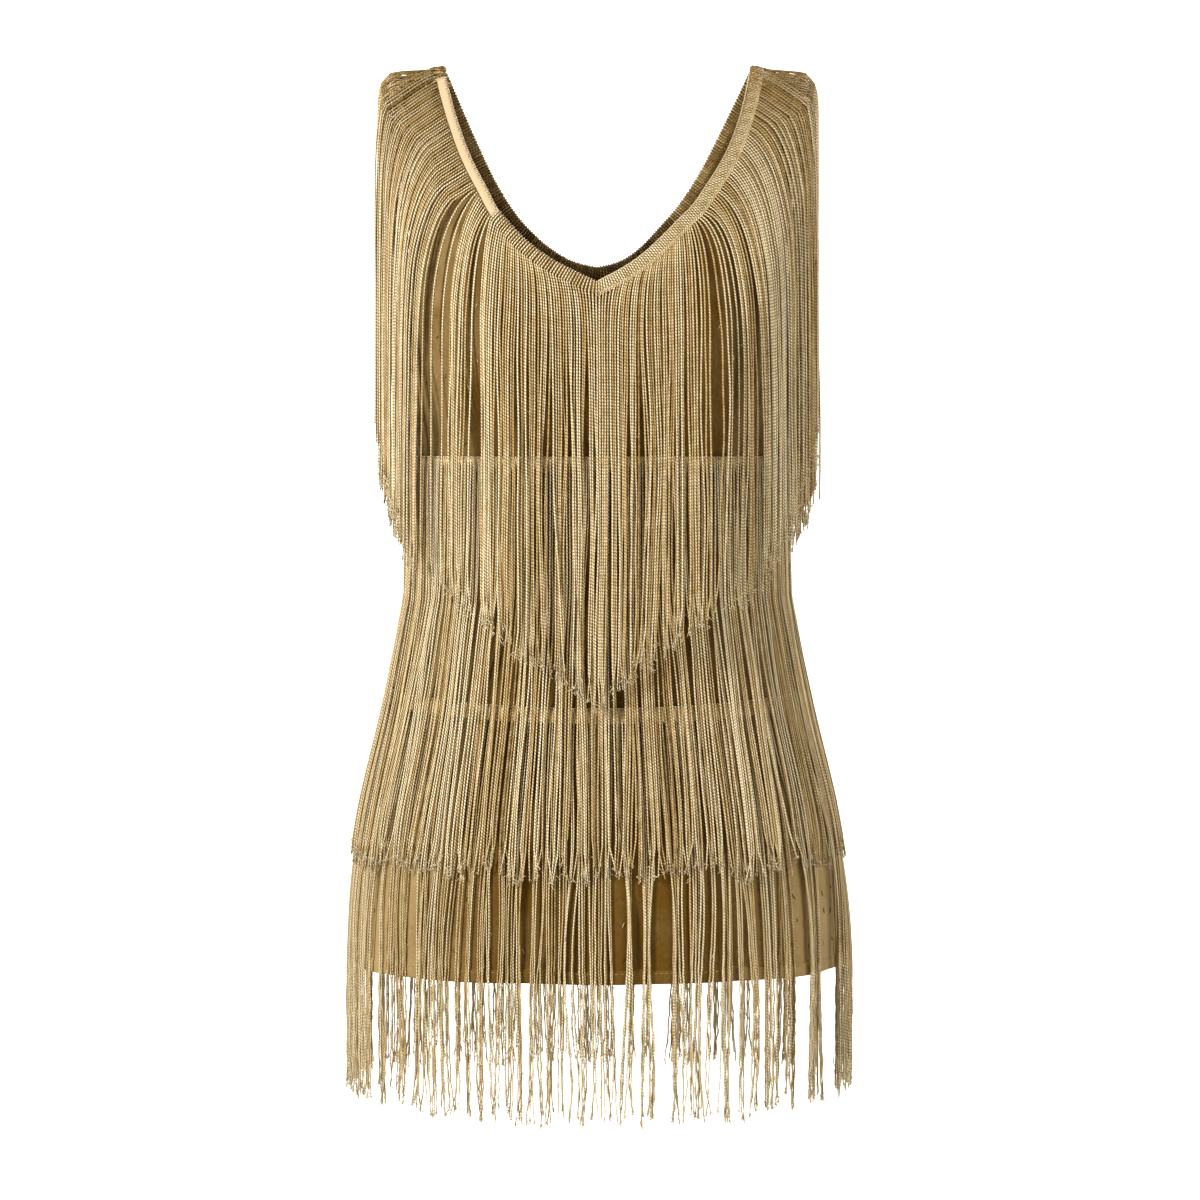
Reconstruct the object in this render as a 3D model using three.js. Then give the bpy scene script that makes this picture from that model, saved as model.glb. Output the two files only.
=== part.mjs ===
// A sleeveless fringed flapper dress in its worn shape, hollow, with no wearer.
// Millimetres. +X is the right of the front view, +Y runs from front to back, +Z is up.
// z = 0 is the top of the shoulders, where the wearer carries the dress.
import * as THREE from "three";

// Driving sizes
const FRINGE_LENGTH = 305; // a 12 inch fringe on every tier
const HEADING = 11; // height of the fringe's woven heading
const CLOTH = 1.4; // thickness of the stretch cloth
const HEM_CLOTH = 2.6; // thickness where the hem is turned up
const HEM_TURN = 14; // height of the turned hem
const HEADING_THICK = 1.5;
const LOCK_THICK = 2;
const LIFT = 0.9; // gap between the cloth and what is sewn on it
const SEAM_GAP = 0.2; // half of the gap between front and back at their seams
const UNDERARM = -205;
// Top of each heading at the side seams, and how much lower it sits at the centre.
const MIDDLE_TIER = { side: -298, dip: 1 };
const LOWER_TIER = { side: -477, dip: 9 };
const CLOTH_INSIDE_NECK = 6; // how far the heading stands past the cloth at the neck
const SHOULDER_EASE = 0.9; // what the neck heading stands off more where the shoulder is tightly curved

// Locks: the share of a heading between them, and how uneven their widths and lengths are.
const LOCK_GAP = 0.27;
const UNEVEN_WIDTH = { wide: 0.22, fine: 0.12 };
const UNEVEN_LENGTH = 0.016;
const TIER_REACH = THREE.MathUtils.degToRad(89.4); // the last lock's side, just short of the side seam
const OVER_LOWER_HEADING = 3.9; // how far the middle tier's locks hang off the cloth, over the next heading
const OVER_MIDDLE_TIER = 6.8; // how far the neck's locks do
// A lock is at its full distance off the cloth after its length divided by this.
const TIER_SETTLES = 2.2;
const NECK_SETTLES = 3.2;
const NECK_FAN = { centre: 78, shoulder: 34 }; // length over which a neck lock comes to hang
const NECK_EASES = { from: 0.75, to: 0.95 }; // shares of the neck edge where SHOULDER_EASE comes in

// The fringe round a shoulder.
const CURTAIN = 166.5; // how far from the centre the outermost lock hangs
const CURTAIN_DRAWS_IN = 24; // how much nearer the first and last locks hang
const CURTAIN_TURNS = 0.9; // how far round the arm they face, in radians
const CURTAIN_FALLS = 6; // length over which a lock turns over the arm edge
const STRAP_HEADING = 0.8 * HEADING;
const ARM_REACH = 0.62; // share of the armhole edge below which there is no heading
const PARTING = 0.06; // the very top carries no lock

// Sections of the dress up to the underarm: half width, and depth in front of and behind the side seams.
const SECTIONS = [
  { z: -689, half: 192, front: 121, back: 118 },
  { z: -640, half: 190, front: 120, back: 120 },
  { z: -600, half: 186, front: 117, back: 121 },
  { z: -560, half: 179, front: 112, back: 116 },
  { z: -485, half: 161, front: 103, back: 99 },
  { z: -410, half: 146, front: 97, back: 86 },
  { z: -375, half: 143, front: 96, back: 83 },
  { z: -335, half: 143, front: 99, back: 84 },
  { z: -300, half: 145, front: 104, back: 88 },
  { z: -255, half: 151, front: 108, back: 94 },
  { z: -205, half: 156, front: 109, back: 98 },
  { z: -160, half: 160, front: 109, back: 98 },
  { z: -105, half: 166, front: 109, back: 98 },
  { z: 0, half: 172, front: 109, back: 98 },
];
const HEM = SECTIONS[0].z;
const FULLNESS = 0.035; // how much squarer than an ellipse a section is
const SHOULDER_POWER = 1.5; // how soon the chest leans back to the shoulder
const SHOULDER_SLOPE = 0.16; // fall of the strap towards the arm
const BUST = { x: 84, z: -232, out: 24, wide: 42, above: 68, below: 38 };
// Soft flutes at the hem: waves round the dress, their height as a share of the section, and where one begins.
const FLUTES = [
  { waves: 9, share: 0.011, turn: 0.6 },
  { waves: 13, share: 0.007, turn: 2.1 },
];
const FLUTES_START = -575;

// Finished neck edge, from the centre to the shoulder.
const FRONT_NECK = [
  { x: 0, z: -170 },
  { x: 30, z: -153 },
  { x: 60, z: -128 },
  { x: 76, z: -114 },
  { x: 86, z: -99 },
  { x: 99, z: -73 },
  { x: 108, z: -46 },
  { x: 114, z: -19 },
  { x: 118, z: 0 },
];
const BACK_NECK = [
  { x: 0, z: -146 },
  { x: 15, z: -143 },
  { x: 29, z: -137 },
  { x: 47, z: -124 },
  { x: 65, z: -105 },
  { x: 81, z: -80 },
  { x: 96, z: -49 },
  { x: 109, z: -20 },
  { x: 118, z: 0 },
];
// Armhole edge, from the underarm to the shoulder: angle from the centre of the panel, and height.
const FRONT_ARM = [
  { angle: 90, z: UNDERARM },
  { angle: 74, z: -192 },
  { angle: 64, z: -170 },
  { angle: 58.5, z: -140 },
  { angle: 57, z: -105 },
  { angle: 58.5, z: -70 },
  { angle: 62, z: -35 },
  { angle: 66.5, z: 0 },
];
const BACK_ARM = [
  { angle: 90, z: UNDERARM },
  { angle: 75, z: -192 },
  { angle: 66, z: -170 },
  { angle: 61, z: -140 },
  { angle: 59.5, z: -105 },
  { angle: 60, z: -70 },
  { angle: 62.5, z: -35 },
  { angle: 66.5, z: 0 },
];

// Where the neck fringe comes to hang: share of the way up the neck edge, and distance from the centre.
// In front it parts at the bust.
const FRONT_FALL = [
  { share: 0, x: 0 },
  { share: 0.2, x: 39 },
  { share: 0.4, x: 78 },
  { share: 0.5, x: 93 },
  { share: 0.58, x: 108 },
  { share: 0.8, x: 130 },
  { share: 1, x: 143 },
];
const BACK_FALL = [
  { share: 0, x: 0 },
  { share: 0.3, x: 46 },
  { share: 0.6, x: 88 },
  { share: 1, x: 143 },
];

// Rows of a panel's wall: heights up the body, then rows across the chest, then shares of the strap's edges.
const HEM_STEP = 1.5; // height over which the wall thins above the turned hem
const BODY_ROWS = [-630, -585, -540, -486, -440, -400, -365, -337, -314, -292];
const HEM_ROWS = [HEM, HEM + HEM_TURN, HEM + HEM_TURN + HEM_STEP, ...BODY_ROWS];
const CHEST_ROWS = 4;
const STRAP_SHARES = [0.14, 0.28, 0.42, 0.56, 0.69, 0.8, 0.89, 0.95, 0.985, 1];
const COLUMNS = 11; // across half a panel

const FRONT = { facing: -1, depth: "front", neck: FRONT_NECK, arm: FRONT_ARM, fall: FRONT_FALL };
const BACK = { facing: 1, depth: "back", neck: BACK_NECK, arm: BACK_ARM, fall: BACK_FALL };

// A smooth curve through one column of a table whose rows rise along another column.
function through(rows, along, across) {
  const slopes = rows.map((row, i) => {
    const before = rows[Math.max(i - 1, 0)];
    const after = rows[Math.min(i + 1, rows.length - 1)];
    return (after[across] - before[across]) / (after[along] - before[along]);
  });
  return (value) => {
    const at = THREE.MathUtils.clamp(value, rows[0][along], rows.at(-1)[along]);
    const i = Math.max(rows.findIndex((row) => row[along] >= at) - 1, 0);
    const run = rows[i + 1][along] - rows[i][along];
    const t = (at - rows[i][along]) / run;
    const rest = 1 - t;
    return (
      rest * rest * (1 + 2 * t) * rows[i][across] +
      t * t * (3 - 2 * t) * rows[i + 1][across] +
      t * rest * run * (rest * slopes[i] - t * slopes[i + 1])
    );
  };
}

const halfWidth = through(SECTIONS, "z", "half");
for (const panel of [FRONT, BACK]) {
  panel.depthAt = through(SECTIONS, "z", panel.depth);
  panel.neckCurve = new THREE.SplineCurve(panel.neck.map(({ x, z }) => new THREE.Vector2(x, z)));
  panel.armCurve = new THREE.SplineCurve(panel.arm.map(({ angle, z }) => new THREE.Vector2(angle, z)));
  panel.fallAt = through(panel.fall, "share", "x");
}

// The bust's fullness in front of the section, shaped by the darts.
function bustAt(x, z) {
  const side = (Math.abs(x) - BUST.x) / BUST.wide;
  const rise = (z - BUST.z) / (z > BUST.z ? BUST.above : BUST.below);
  return BUST.out * Math.exp(-side * side - rise * rise);
}

// Share of the depth that is left where the chest and the back lean in to the shoulder.
function shoulderShare(z) {
  const rise = THREE.MathUtils.clamp((z - UNDERARM) / -UNDERARM, 0, 1);
  return Math.sqrt(1 - rise ** SHOULDER_POWER);
}

// How far a section stands out at an angle from its panel's centre, against an ellipse.
function sectionShare(panel, angle, z) {
  const square = Math.sin(2 * angle) ** 2;
  const round = panel === FRONT ? angle : Math.PI - angle;
  const flare = THREE.MathUtils.smoothstep(-z, -FLUTES_START, -HEM);
  const flutes = FLUTES.reduce((sum, f) => sum + f.share * Math.sin(f.waves * round + f.turn), 0);
  return 1 + FULLNESS * square + flare * flutes;
}

// The cloth's outer face in plan: across and out from the side seams' plane.
function planPoint(panel, angle, z) {
  const share = sectionShare(panel, angle, z);
  const x = halfWidth(z) * Math.sin(angle) * share;
  const bust = panel === FRONT ? bustAt(x, z) : 0;
  const out = (panel.depthAt(z) * share * Math.cos(angle) + bust * Math.cos(angle)) * shoulderShare(z);
  return { x, out };
}

// The angle at which the section at a height is this far from the centre.
function angleAt(panel, x, z) {
  let low = 0;
  let high = Math.PI / 2;
  for (let i = 0; i < 30; i++) {
    const middle = (low + high) / 2;
    if (planPoint(panel, middle, z).x < Math.abs(x)) low = middle;
    else high = middle;
  }
  return Math.sign(x) * low;
}

// The outward direction in plan, from the section's half width and depth.
function outward(panel, angle, z) {
  const depth = Math.max(panel.depthAt(z) * shoulderShare(z), 1);
  const across = Math.sin(angle) / halfWidth(z);
  const out = Math.cos(angle) / depth;
  return { x: across / Math.hypot(across, out), out: out / Math.hypot(across, out) };
}

// The strap falls a little from the neck to the arm.
function strapDrop(x, z) {
  const past = Math.max(Math.abs(x) - FRONT_NECK.at(-1).x, 0);
  return SHOULDER_SLOPE * past * THREE.MathUtils.smoothstep(z, -160, 0);
}

function clothPoint(panel, angle, z) {
  const { x, out } = planPoint(panel, angle, z);
  return new THREE.Vector3(x, panel.facing * (out + SEAM_GAP), z - strapDrop(x, z));
}

// The direction straight off the cloth.
function offCloth(panel, angle, z) {
  const step = 0.5;
  const high = Math.min(z + step, -0.05);
  const up = clothPoint(panel, angle, high).sub(clothPoint(panel, angle, high - 2 * step));
  const turn = step / 100;
  const round = clothPoint(panel, angle + turn, high).sub(clothPoint(panel, angle - turn, high));
  const normal = up.cross(round).multiplyScalar(panel.facing).normalize();
  return normal;
}

// A point this far off the cloth.
function over(panel, angle, z, lift) {
  return clothPoint(panel, angle, z).addScaledVector(offCloth(panel, angle, z), lift);
}

// A point beside the neck edge: share 0 is the centre, 1 the shoulder, and inset runs into the cloth.
function besideNeck(panel, share, inset) {
  const at = Math.min(Math.abs(share), 1);
  const point = panel.neckCurve.getPointAt(at);
  const tangent = panel.neckCurve.getTangentAt(at);
  const mitre = inset / tangent.x;
  const nearCentre = Math.max(1 - (at * 200) / HEADING, 0);
  const x = point.x + tangent.y * inset * (1 - nearCentre);
  const z = point.y - THREE.MathUtils.lerp(tangent.x * inset, mitre, nearCentre);
  return { x: Math.sign(share || 1) * Math.max(x, 0), z: Math.min(z, 0) };
}

// A closed skin: points, and quads that share them.
class Skin {
  constructor() {
    this.points = [];
    this.faces = [];
  }
  add(point) {
    return this.points.push(point) - 1;
  }
  quad(a, b, c, d) {
    this.faces.push([a, b, c], [a, c, d]);
  }
  volume() {
    const cross = new THREE.Vector3();
    return this.faces.reduce((sum, [a, b, c]) => {
      cross.crossVectors(this.points[b], this.points[c]);
      return sum + this.points[a].dot(cross) / 6;
    }, 0);
  }
  geometry() {
    const faces = this.volume() < 0 ? this.faces.map(([a, b, c]) => [a, c, b]) : this.faces;
    const geometry = new THREE.BufferGeometry();
    const places = this.points.flatMap((p) => p.toArray());
    geometry.setAttribute("position", new THREE.Float32BufferAttribute(places, 3));
    geometry.setIndex(faces.flat());
    geometry.computeVertexNormals();
    return geometry;
  }
}

// Rows of a panel as [angle, z] at the centre or neck and at the side or arm.
function panelRows(panel) {
  const rows = HEM_ROWS.map((z) => ({ inner: [0, z], outer: [Math.PI / 2, z] }));
  const centreTop = besideNeck(panel, 0, CLOTH_INSIDE_NECK).z;
  const top = HEM_ROWS.at(-1);
  for (let i = 1; i <= CHEST_ROWS; i++) {
    const t = i / CHEST_ROWS;
    const centre = THREE.MathUtils.lerp(top, centreTop, t);
    rows.push({ inner: [0, centre], outer: [Math.PI / 2, THREE.MathUtils.lerp(top, UNDERARM, t)] });
  }
  for (const share of STRAP_SHARES) {
    const neck = besideNeck(panel, share, CLOTH_INSIDE_NECK);
    const z = share === 1 ? 0 : neck.z;
    const arm = panel.armCurve.getPointAt(share);
    rows.push({
      inner: [angleAt(panel, neck.x, z), z],
      outer: [THREE.MathUtils.degToRad(arm.x), arm.y],
      open: true,
    });
  }
  return rows;
}

// The cloth of one panel, from the hem to the shoulder seams, as a wall of its own thickness.
function panelCloth(panel) {
  const rows = panelRows(panel);
  const skin = new Skin();
  const last = rows.length - 1;
  const outerFace = new Map();
  const innerFace = new Map();
  // The two straps part above the neck, so the centre column has a left and a right copy there.
  const key = (i, side, j) => (j === 0 && !rows[i].open ? `${i}` : `${i} ${side} ${j}`);
  rows.forEach((row, i) => {
    for (const side of [-1, 1]) {
      for (let j = 0; j <= COLUMNS; j++) {
        if (outerFace.has(key(i, side, j))) continue;
        const t = j / COLUMNS;
        const angle = THREE.MathUtils.lerp(row.inner[0], row.outer[0], t) * side;
        const z = THREE.MathUtils.lerp(row.inner[1], row.outer[1], t);
        const point = clothPoint(panel, angle, z);
        const normal = offCloth(panel, angle, z);
        if (i === last) normal.set(0, 0, 1);
        if (!row.open && j === COLUMNS) normal.set(side, 0, 0);
        const thick = z < HEM + HEM_TURN + 1 ? HEM_CLOTH : CLOTH;
        outerFace.set(key(i, side, j), skin.add(point));
        innerFace.set(key(i, side, j), skin.add(point.clone().addScaledVector(normal, -thick)));
      }
    }
  });
  const quad = (keys) => {
    skin.quad(...keys.map((k) => outerFace.get(k)));
    skin.quad(...keys.map((k) => innerFace.get(k)).reverse());
  };
  const rim = (a, b) => skin.quad(outerFace.get(b), outerFace.get(a), innerFace.get(a), innerFace.get(b));
  for (const side of [-1, 1]) {
    for (let i = 0; i < last; i++) {
      for (let j = 0; j < COLUMNS; j++) {
        const corners = [key(i, side, j), key(i, side, j + 1), key(i + 1, side, j + 1), key(i + 1, side, j)];
        quad(side > 0 ? corners : corners.reverse());
      }
      const edge = [key(i, side, COLUMNS), key(i + 1, side, COLUMNS)];
      rim(...(side > 0 ? edge : edge.reverse()));
      if (rows[i + 1].open) {
        const neck = [key(i + 1, side, 0), key(i, side, 0)];
        rim(...(side > 0 ? neck : neck.reverse()));
      }
    }
    for (let j = 0; j < COLUMNS; j++) {
      const hem = [key(0, side, j), key(0, side, j + 1)];
      rim(...(side > 0 ? hem : hem.reverse()));
      const shoulder = [key(last, side, j + 1), key(last, side, j)];
      rim(...(side > 0 ? shoulder : shoulder.reverse()));
    }
  }
  return skin.geometry();
}

// Cell edges of a fringe: a gap, then a lock and a gap for each lock, with uneven widths.
function fringeCells(from, to, locks) {
  const widths = [];
  for (let i = 0; i < locks; i++) {
    const uneven = 1 + UNEVEN_WIDTH.wide * Math.sin(2.4 * i + from) + UNEVEN_WIDTH.fine * Math.sin(5.3 * i);
    widths.push({ lock: false, width: LOCK_GAP }, { lock: true, width: (1 - LOCK_GAP) * uneven });
  }
  widths.push({ lock: false, width: LOCK_GAP });
  const total = widths.reduce((sum, cell) => sum + cell.width, 0);
  let at = from;
  return widths.map(({ lock, width }) => {
    const cell = { from: at, to: at + ((to - from) * width) / total, lock };
    at = cell.to;
    return cell;
  });
}

// A heading with locks hanging from its lower edge, all one body.
// heading(u, rise, lift) gives its points, and line(u, length) the pairs of points down a lock's side.
function fringe(cells, heading, line) {
  const skin = new Skin();
  const column = (u) => {
    const [bottomIn, bottomOut, topIn, topOut] = [
      [0, LIFT],
      [0, LIFT + HEADING_THICK],
      [1, LIFT],
      [1, LIFT + HEADING_THICK],
    ].map(([rise, lift]) => skin.add(heading(u, rise, lift)));
    return { bottomIn, bottomOut, topIn, topOut };
  };
  const columns = [cells[0].from, ...cells.map((cell) => cell.to)].map(column);
  const first = columns[0];
  const final = columns.at(-1);
  skin.quad(first.bottomOut, first.topOut, first.topIn, first.bottomIn);
  skin.quad(final.topOut, final.bottomOut, final.bottomIn, final.topIn);
  cells.forEach((cell, i) => {
    const [left, right] = [columns[i], columns[i + 1]];
    skin.quad(left.bottomOut, right.bottomOut, right.topOut, left.topOut);
    skin.quad(right.bottomIn, left.bottomIn, left.topIn, right.topIn);
    skin.quad(left.topOut, right.topOut, right.topIn, left.topIn);
    let ring = [left.bottomIn, right.bottomIn, right.bottomOut, left.bottomOut];
    if (cell.lock) {
      const length = FRINGE_LENGTH * (1 - UNEVEN_LENGTH * (1 + Math.sin(3.1 * i + cell.from)));
      const [leftSide, rightSide] = [cell.from, cell.to].map((u) => line(u, length));
      leftSide.forEach(([leftIn, leftOut], k) => {
        const [rightIn, rightOut] = rightSide[k];
        const next = [leftIn, rightIn, rightOut, leftOut].map((point) => skin.add(point));
        for (let side = 0; side < 4; side++) {
          const after = (side + 1) % 4;
          skin.quad(ring[side], ring[after], next[after], next[side]);
        }
        ring = next;
      });
    }
    skin.quad(...ring);
  });
  return skin.geometry();
}

// The line of a lock's side that starts on the cloth and hangs: it rests on what stands out
// furthest above it and never swings back in. planAt(gone, z, x) gives its place in plan, levels are
// the shares of its length, or functions of its path, where it bends, and lifts(share) is its distance off.
function hangingLine(start, planAt, levels, length, lifts) {
  const step = 2.5;
  const leastDrop = 0.3 * step;
  const path = [{ ...start, gone: 0 }];
  let { x, out, z } = start;
  let gone = 0;
  while (gone < length) {
    const next = planAt(gone + step, z - step, x);
    const side = Math.sign(next.x || 1);
    const nextX = next.fixed ? next.x : side * Math.max(Math.abs(next.x), Math.abs(x));
    const nextOut = Math.max(out, next.out);
    const run = Math.hypot(nextX - x, nextOut - out);
    const drop = Math.max(Math.sqrt(Math.max(step * step - run * run, 0)), leastDrop);
    z -= drop;
    gone += Math.hypot(run, drop);
    x = nextX;
    out = nextOut;
    path.push({ x, out, z, gone, off: next.off });
  }
  return levels.map((level) => {
    const wanted = typeof level === "function" ? level(path) : level * length;
    const point = path.find((p) => p.gone >= wanted) ?? path.at(-1);
    const share = point.gone / length;
    return { ...point, lift: lifts(share) };
  });
}

// A tier sewn round the dress: where its heading lies, the heights at which its locks bend, and how far
// off the cloth they end.
function ringTier(panel, tier, locks, bends, endLift) {
  const topAt = (angle) => tier.side - tier.dip * Math.cos(angle) ** 2;
  const heading = (u, rise, lift) => over(panel, u, topAt(u) - HEADING * (1 - rise), lift);
  const line = (angle, length) => {
    const bottom = topAt(angle) - HEADING;
    const begin = planPoint(panel, angle, bottom);
    const planAt = (gone, z) => {
      const height = Math.max(z, HEM + 0.5);
      return { ...planPoint(panel, angle, height), off: outward(panel, angle, height) };
    };
    const start = { ...begin, z: bottom, off: outward(panel, angle, bottom) };
    const levels = bends.map((height) => (path) => (path.find((p) => p.z <= height) ?? path.at(-1)).gone);
    const lifts = (share) => THREE.MathUtils.lerp(LIFT, endLift, Math.min(share * TIER_SETTLES, 1));
    return hangingLine(start, planAt, [...levels, 1], length, lifts).map((p) => lockPair(panel, p));
  };
  return fringe(fringeCells(-TIER_REACH, TIER_REACH, locks), heading, line);
}

// The inner and outer point of a lock's side.
function lockPair(panel, { x, out, z, off, lift }) {
  return [lift, lift + LOCK_THICK].map(
    (distance) =>
      new THREE.Vector3(x + off.x * distance, panel.facing * (out + SEAM_GAP + off.out * distance), z),
  );
}

// The outer face's distance in front of the side seams at a place in the front or back view.
function outAt(panel, x, z) {
  const angle = angleAt(panel, Math.sign(x) * Math.min(Math.abs(x), halfWidth(z) * 0.99), z);
  return { out: planPoint(panel, angle, z).out, off: outward(panel, angle, z) };
}

// The tier at the neck: its locks fan out from the heading, cross the bust and hang.
function neckTier(panel, locks) {
  const bends = [0.05, 0.13, 0.22, 0.31, 0.41, 1];
  const fanLength = (u) => THREE.MathUtils.lerp(NECK_FAN.centre, NECK_FAN.shoulder, u * u);
  const heading = (u, rise, lift) => {
    const { x, z } = besideNeck(panel, u, HEADING * (1 - rise));
    const ease = SHOULDER_EASE * THREE.MathUtils.smoothstep(Math.abs(u), NECK_EASES.from, NECK_EASES.to);
    return over(panel, angleAt(panel, x, z), z, lift + ease);
  };
  const line = (u, length) => {
    const root = besideNeck(panel, u, HEADING);
    const hangs = Math.sign(u) * panel.fallAt(Math.abs(u));
    const planAt = (gone, z) => {
      const x = hangs + (root.x - hangs) * Math.exp(-gone / fanLength(u));
      return { x, fixed: true, ...outAt(panel, x, Math.max(z, HEM)) };
    };
    const start = { ...root, ...outAt(panel, root.x, root.z) };
    const clear = LIFT + 0.4;
    const lifts = (share) => THREE.MathUtils.lerp(clear, OVER_MIDDLE_TIER, Math.min(share * NECK_SETTLES, 1));
    return hangingLine(start, planAt, bends, length, lifts).map((p) => lockPair(panel, p));
  };
  return fringe(fringeCells(-1, 1, locks), heading, line);
}

// The tier round a shoulder: u runs from the front of the armhole (-1) over the shoulder to its back (1).
function shoulderTier(side, locks) {
  const bends = [0.012, 0.035, 0.08, 0.2, 0.5, 1];
  const place = (u, inset) => {
    const panel = u < 0 ? FRONT : BACK;
    const share = 1 - Math.min(Math.abs(u), 1) ** 1.5 * (1 - ARM_REACH);
    const arm = panel.armCurve.getPointAt(share);
    const z = Math.min(arm.y, 0);
    const edge = planPoint(panel, THREE.MathUtils.degToRad(arm.x), z).x;
    return { panel, angle: angleAt(panel, side * (edge - inset), z), z };
  };
  const heading = (u, rise, lift) => {
    const { panel, angle, z } = place(u, STRAP_HEADING * rise);
    return over(panel, angle, z, lift);
  };
  const line = (u, length) => {
    const { panel, angle, z } = place(u, 0);
    const root = clothPoint(panel, angle, z);
    const turn = Math.abs(u) * CURTAIN_TURNS;
    const hangs = side * THREE.MathUtils.lerp(CURTAIN, CURTAIN - CURTAIN_DRAWS_IN, Math.abs(u) ** 2.6);
    const off = { x: side * Math.cos(turn), out: Math.sin(turn) };
    const out = panel.facing * root.y - SEAM_GAP;
    const planAt = (gone, z) => {
      const x = hangs + (root.x - hangs) * Math.exp(-gone / CURTAIN_FALLS);
      return { x, fixed: true, out: outAt(panel, x, z).out + 1, off };
    };
    const start = { x: root.x, out, z: root.z, off };
    return hangingLine(start, planAt, bends, length, () => LIFT).map((p) => lockPair(panel, p));
  };
  const top = [-PARTING, -PARTING / 3, PARTING / 3, PARTING];
  const cells = [
    ...fringeCells(-1, -PARTING, locks / 2),
    ...top.slice(1).map((to, i) => ({ from: top[i], to, lock: false })),
    ...fringeCells(PARTING, 1, locks / 2),
  ];
  return fringe(cells, heading, line);
}

const cloth = new THREE.MeshStandardMaterial({ color: 0xa98a5c, roughness: 0.6, side: THREE.DoubleSide });
const yarn = new THREE.MeshStandardMaterial({ color: 0xd6c193, roughness: 0.5 });

const dress = new THREE.Group();
const pieces = [
  ["front_panel", panelCloth(FRONT), cloth],
  ["back_panel", panelCloth(BACK), cloth],
  ["neck_fringe_front", neckTier(FRONT, 30), yarn],
  ["neck_fringe_back", neckTier(BACK, 26), yarn],
  ["shoulder_fringe_left", shoulderTier(-1, 12), yarn],
  ["shoulder_fringe_right", shoulderTier(1, 12), yarn],
];
const RINGS = [
  {
    name: "middle_fringe",
    tier: MIDDLE_TIER,
    locks: 24,
    bends: [-365, -440, -486, -540, -585],
    endLift: OVER_LOWER_HEADING,
  },
  { name: "lower_fringe", tier: LOWER_TIER, locks: 36, bends: [-540, -585, -630, HEM], endLift: LIFT },
];
for (const { name, tier, locks, bends, endLift } of RINGS) {
  pieces.push([`${name}_front`, ringTier(FRONT, tier, locks, bends, endLift), yarn]);
  pieces.push([`${name}_back`, ringTier(BACK, tier, locks, bends, endLift), yarn]);
}
for (const [name, geometry, material] of pieces) {
  const mesh = new THREE.Mesh(geometry, material);
  mesh.name = name;
  dress.add(mesh);
}

export default dress;
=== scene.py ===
"""Looks of a fringed flapper dress: satin knit shells, woven fringe headings and twisted threads.

Everything is laid out in millimetres on the same torso form as the dress's solids, and is turned
into metres only where a mesh is made.
"""

import logging
import math
from collections.abc import Callable, Sequence
from dataclasses import dataclass, field
from enum import Enum
from typing import NamedTuple

import bmesh
import bpy
import numpy as np
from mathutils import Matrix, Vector


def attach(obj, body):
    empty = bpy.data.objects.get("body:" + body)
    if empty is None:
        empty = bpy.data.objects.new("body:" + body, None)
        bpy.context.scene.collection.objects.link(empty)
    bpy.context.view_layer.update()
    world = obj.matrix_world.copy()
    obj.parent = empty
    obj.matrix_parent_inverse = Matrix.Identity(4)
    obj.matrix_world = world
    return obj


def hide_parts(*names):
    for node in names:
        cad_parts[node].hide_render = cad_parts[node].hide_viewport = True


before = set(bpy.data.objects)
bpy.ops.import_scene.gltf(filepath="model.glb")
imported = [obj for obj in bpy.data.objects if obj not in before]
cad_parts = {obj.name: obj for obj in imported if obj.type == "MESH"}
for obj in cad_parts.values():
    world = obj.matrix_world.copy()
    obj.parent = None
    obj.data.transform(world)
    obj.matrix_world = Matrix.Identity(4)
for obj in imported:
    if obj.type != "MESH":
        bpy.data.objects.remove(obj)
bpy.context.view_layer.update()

log = logging.getLogger("dress")

MM = 0.001
BODY = "root"
Array = np.ndarray
Colour = tuple[float, float, float]
Laying = Callable[[Array, Array, Array], Array]
TURN = 2 * math.pi
# Points nearer than this are one, in metres: round a tube, and where two halves meet.
TUBE_WELD = 1e-6
SEAM_WELD = 1e-5
# Height of a tube's UV map and the body's rough radius, in mm, and the points that measure a line.
TUBE_ROUND = 24
BODY_RADIUS = 150
SAMPLES = 400


class Side(Enum):
    """A panel's side of the dress, by the sign of y that it faces."""

    FRONT = -1
    BACK = 1


class Section(NamedTuple):
    """A level section: half width, and depth before and behind the side seams."""

    z: float
    half: float
    front: float
    back: float


class Place(NamedTuple):
    """A point of an edge: distance or angle from the panel's centre, and height."""

    across: float
    z: float


class Fall(NamedTuple):
    """Where a thread comes to hang: its root's share of the neck edge, and distance from the centre."""

    share: float
    x: float


class Gain(NamedTuple):
    """How far the sewn-on band takes the neck edge past the cloth's cut, towards the neck."""

    share: float
    left: float
    right: float


class Crease(NamedTuple):
    """A soft trough (below 0) or ridge (above 0) in the cloth, by the angle and height of its middle."""

    angle: float
    z: float
    length: float
    width: float
    depth: float
    lean: float


def smoothstep(value: Array, low: float, high: float) -> Array:
    """0 below low, 1 above high and an even curve between."""
    t = np.clip((np.asarray(value, float) - low) / (high - low), 0, 1)
    return t * t * (3 - 2 * t)


def lerp(a: Array, b: Array, t: Array) -> Array:
    """The value a share t of the way from a to b."""
    return a + (np.asarray(b) - a) * t


def signs(values: Array) -> Array:
    """The sign of each value, with 0 counted as above 0."""
    return np.where(np.asarray(values) < 0, -1.0, 1.0)


def distances(line: Array) -> Array:
    """How far along a line each of its points is."""
    return np.concatenate([[0], np.linalg.norm(np.diff(line, axis=0), axis=1).cumsum()])


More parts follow.
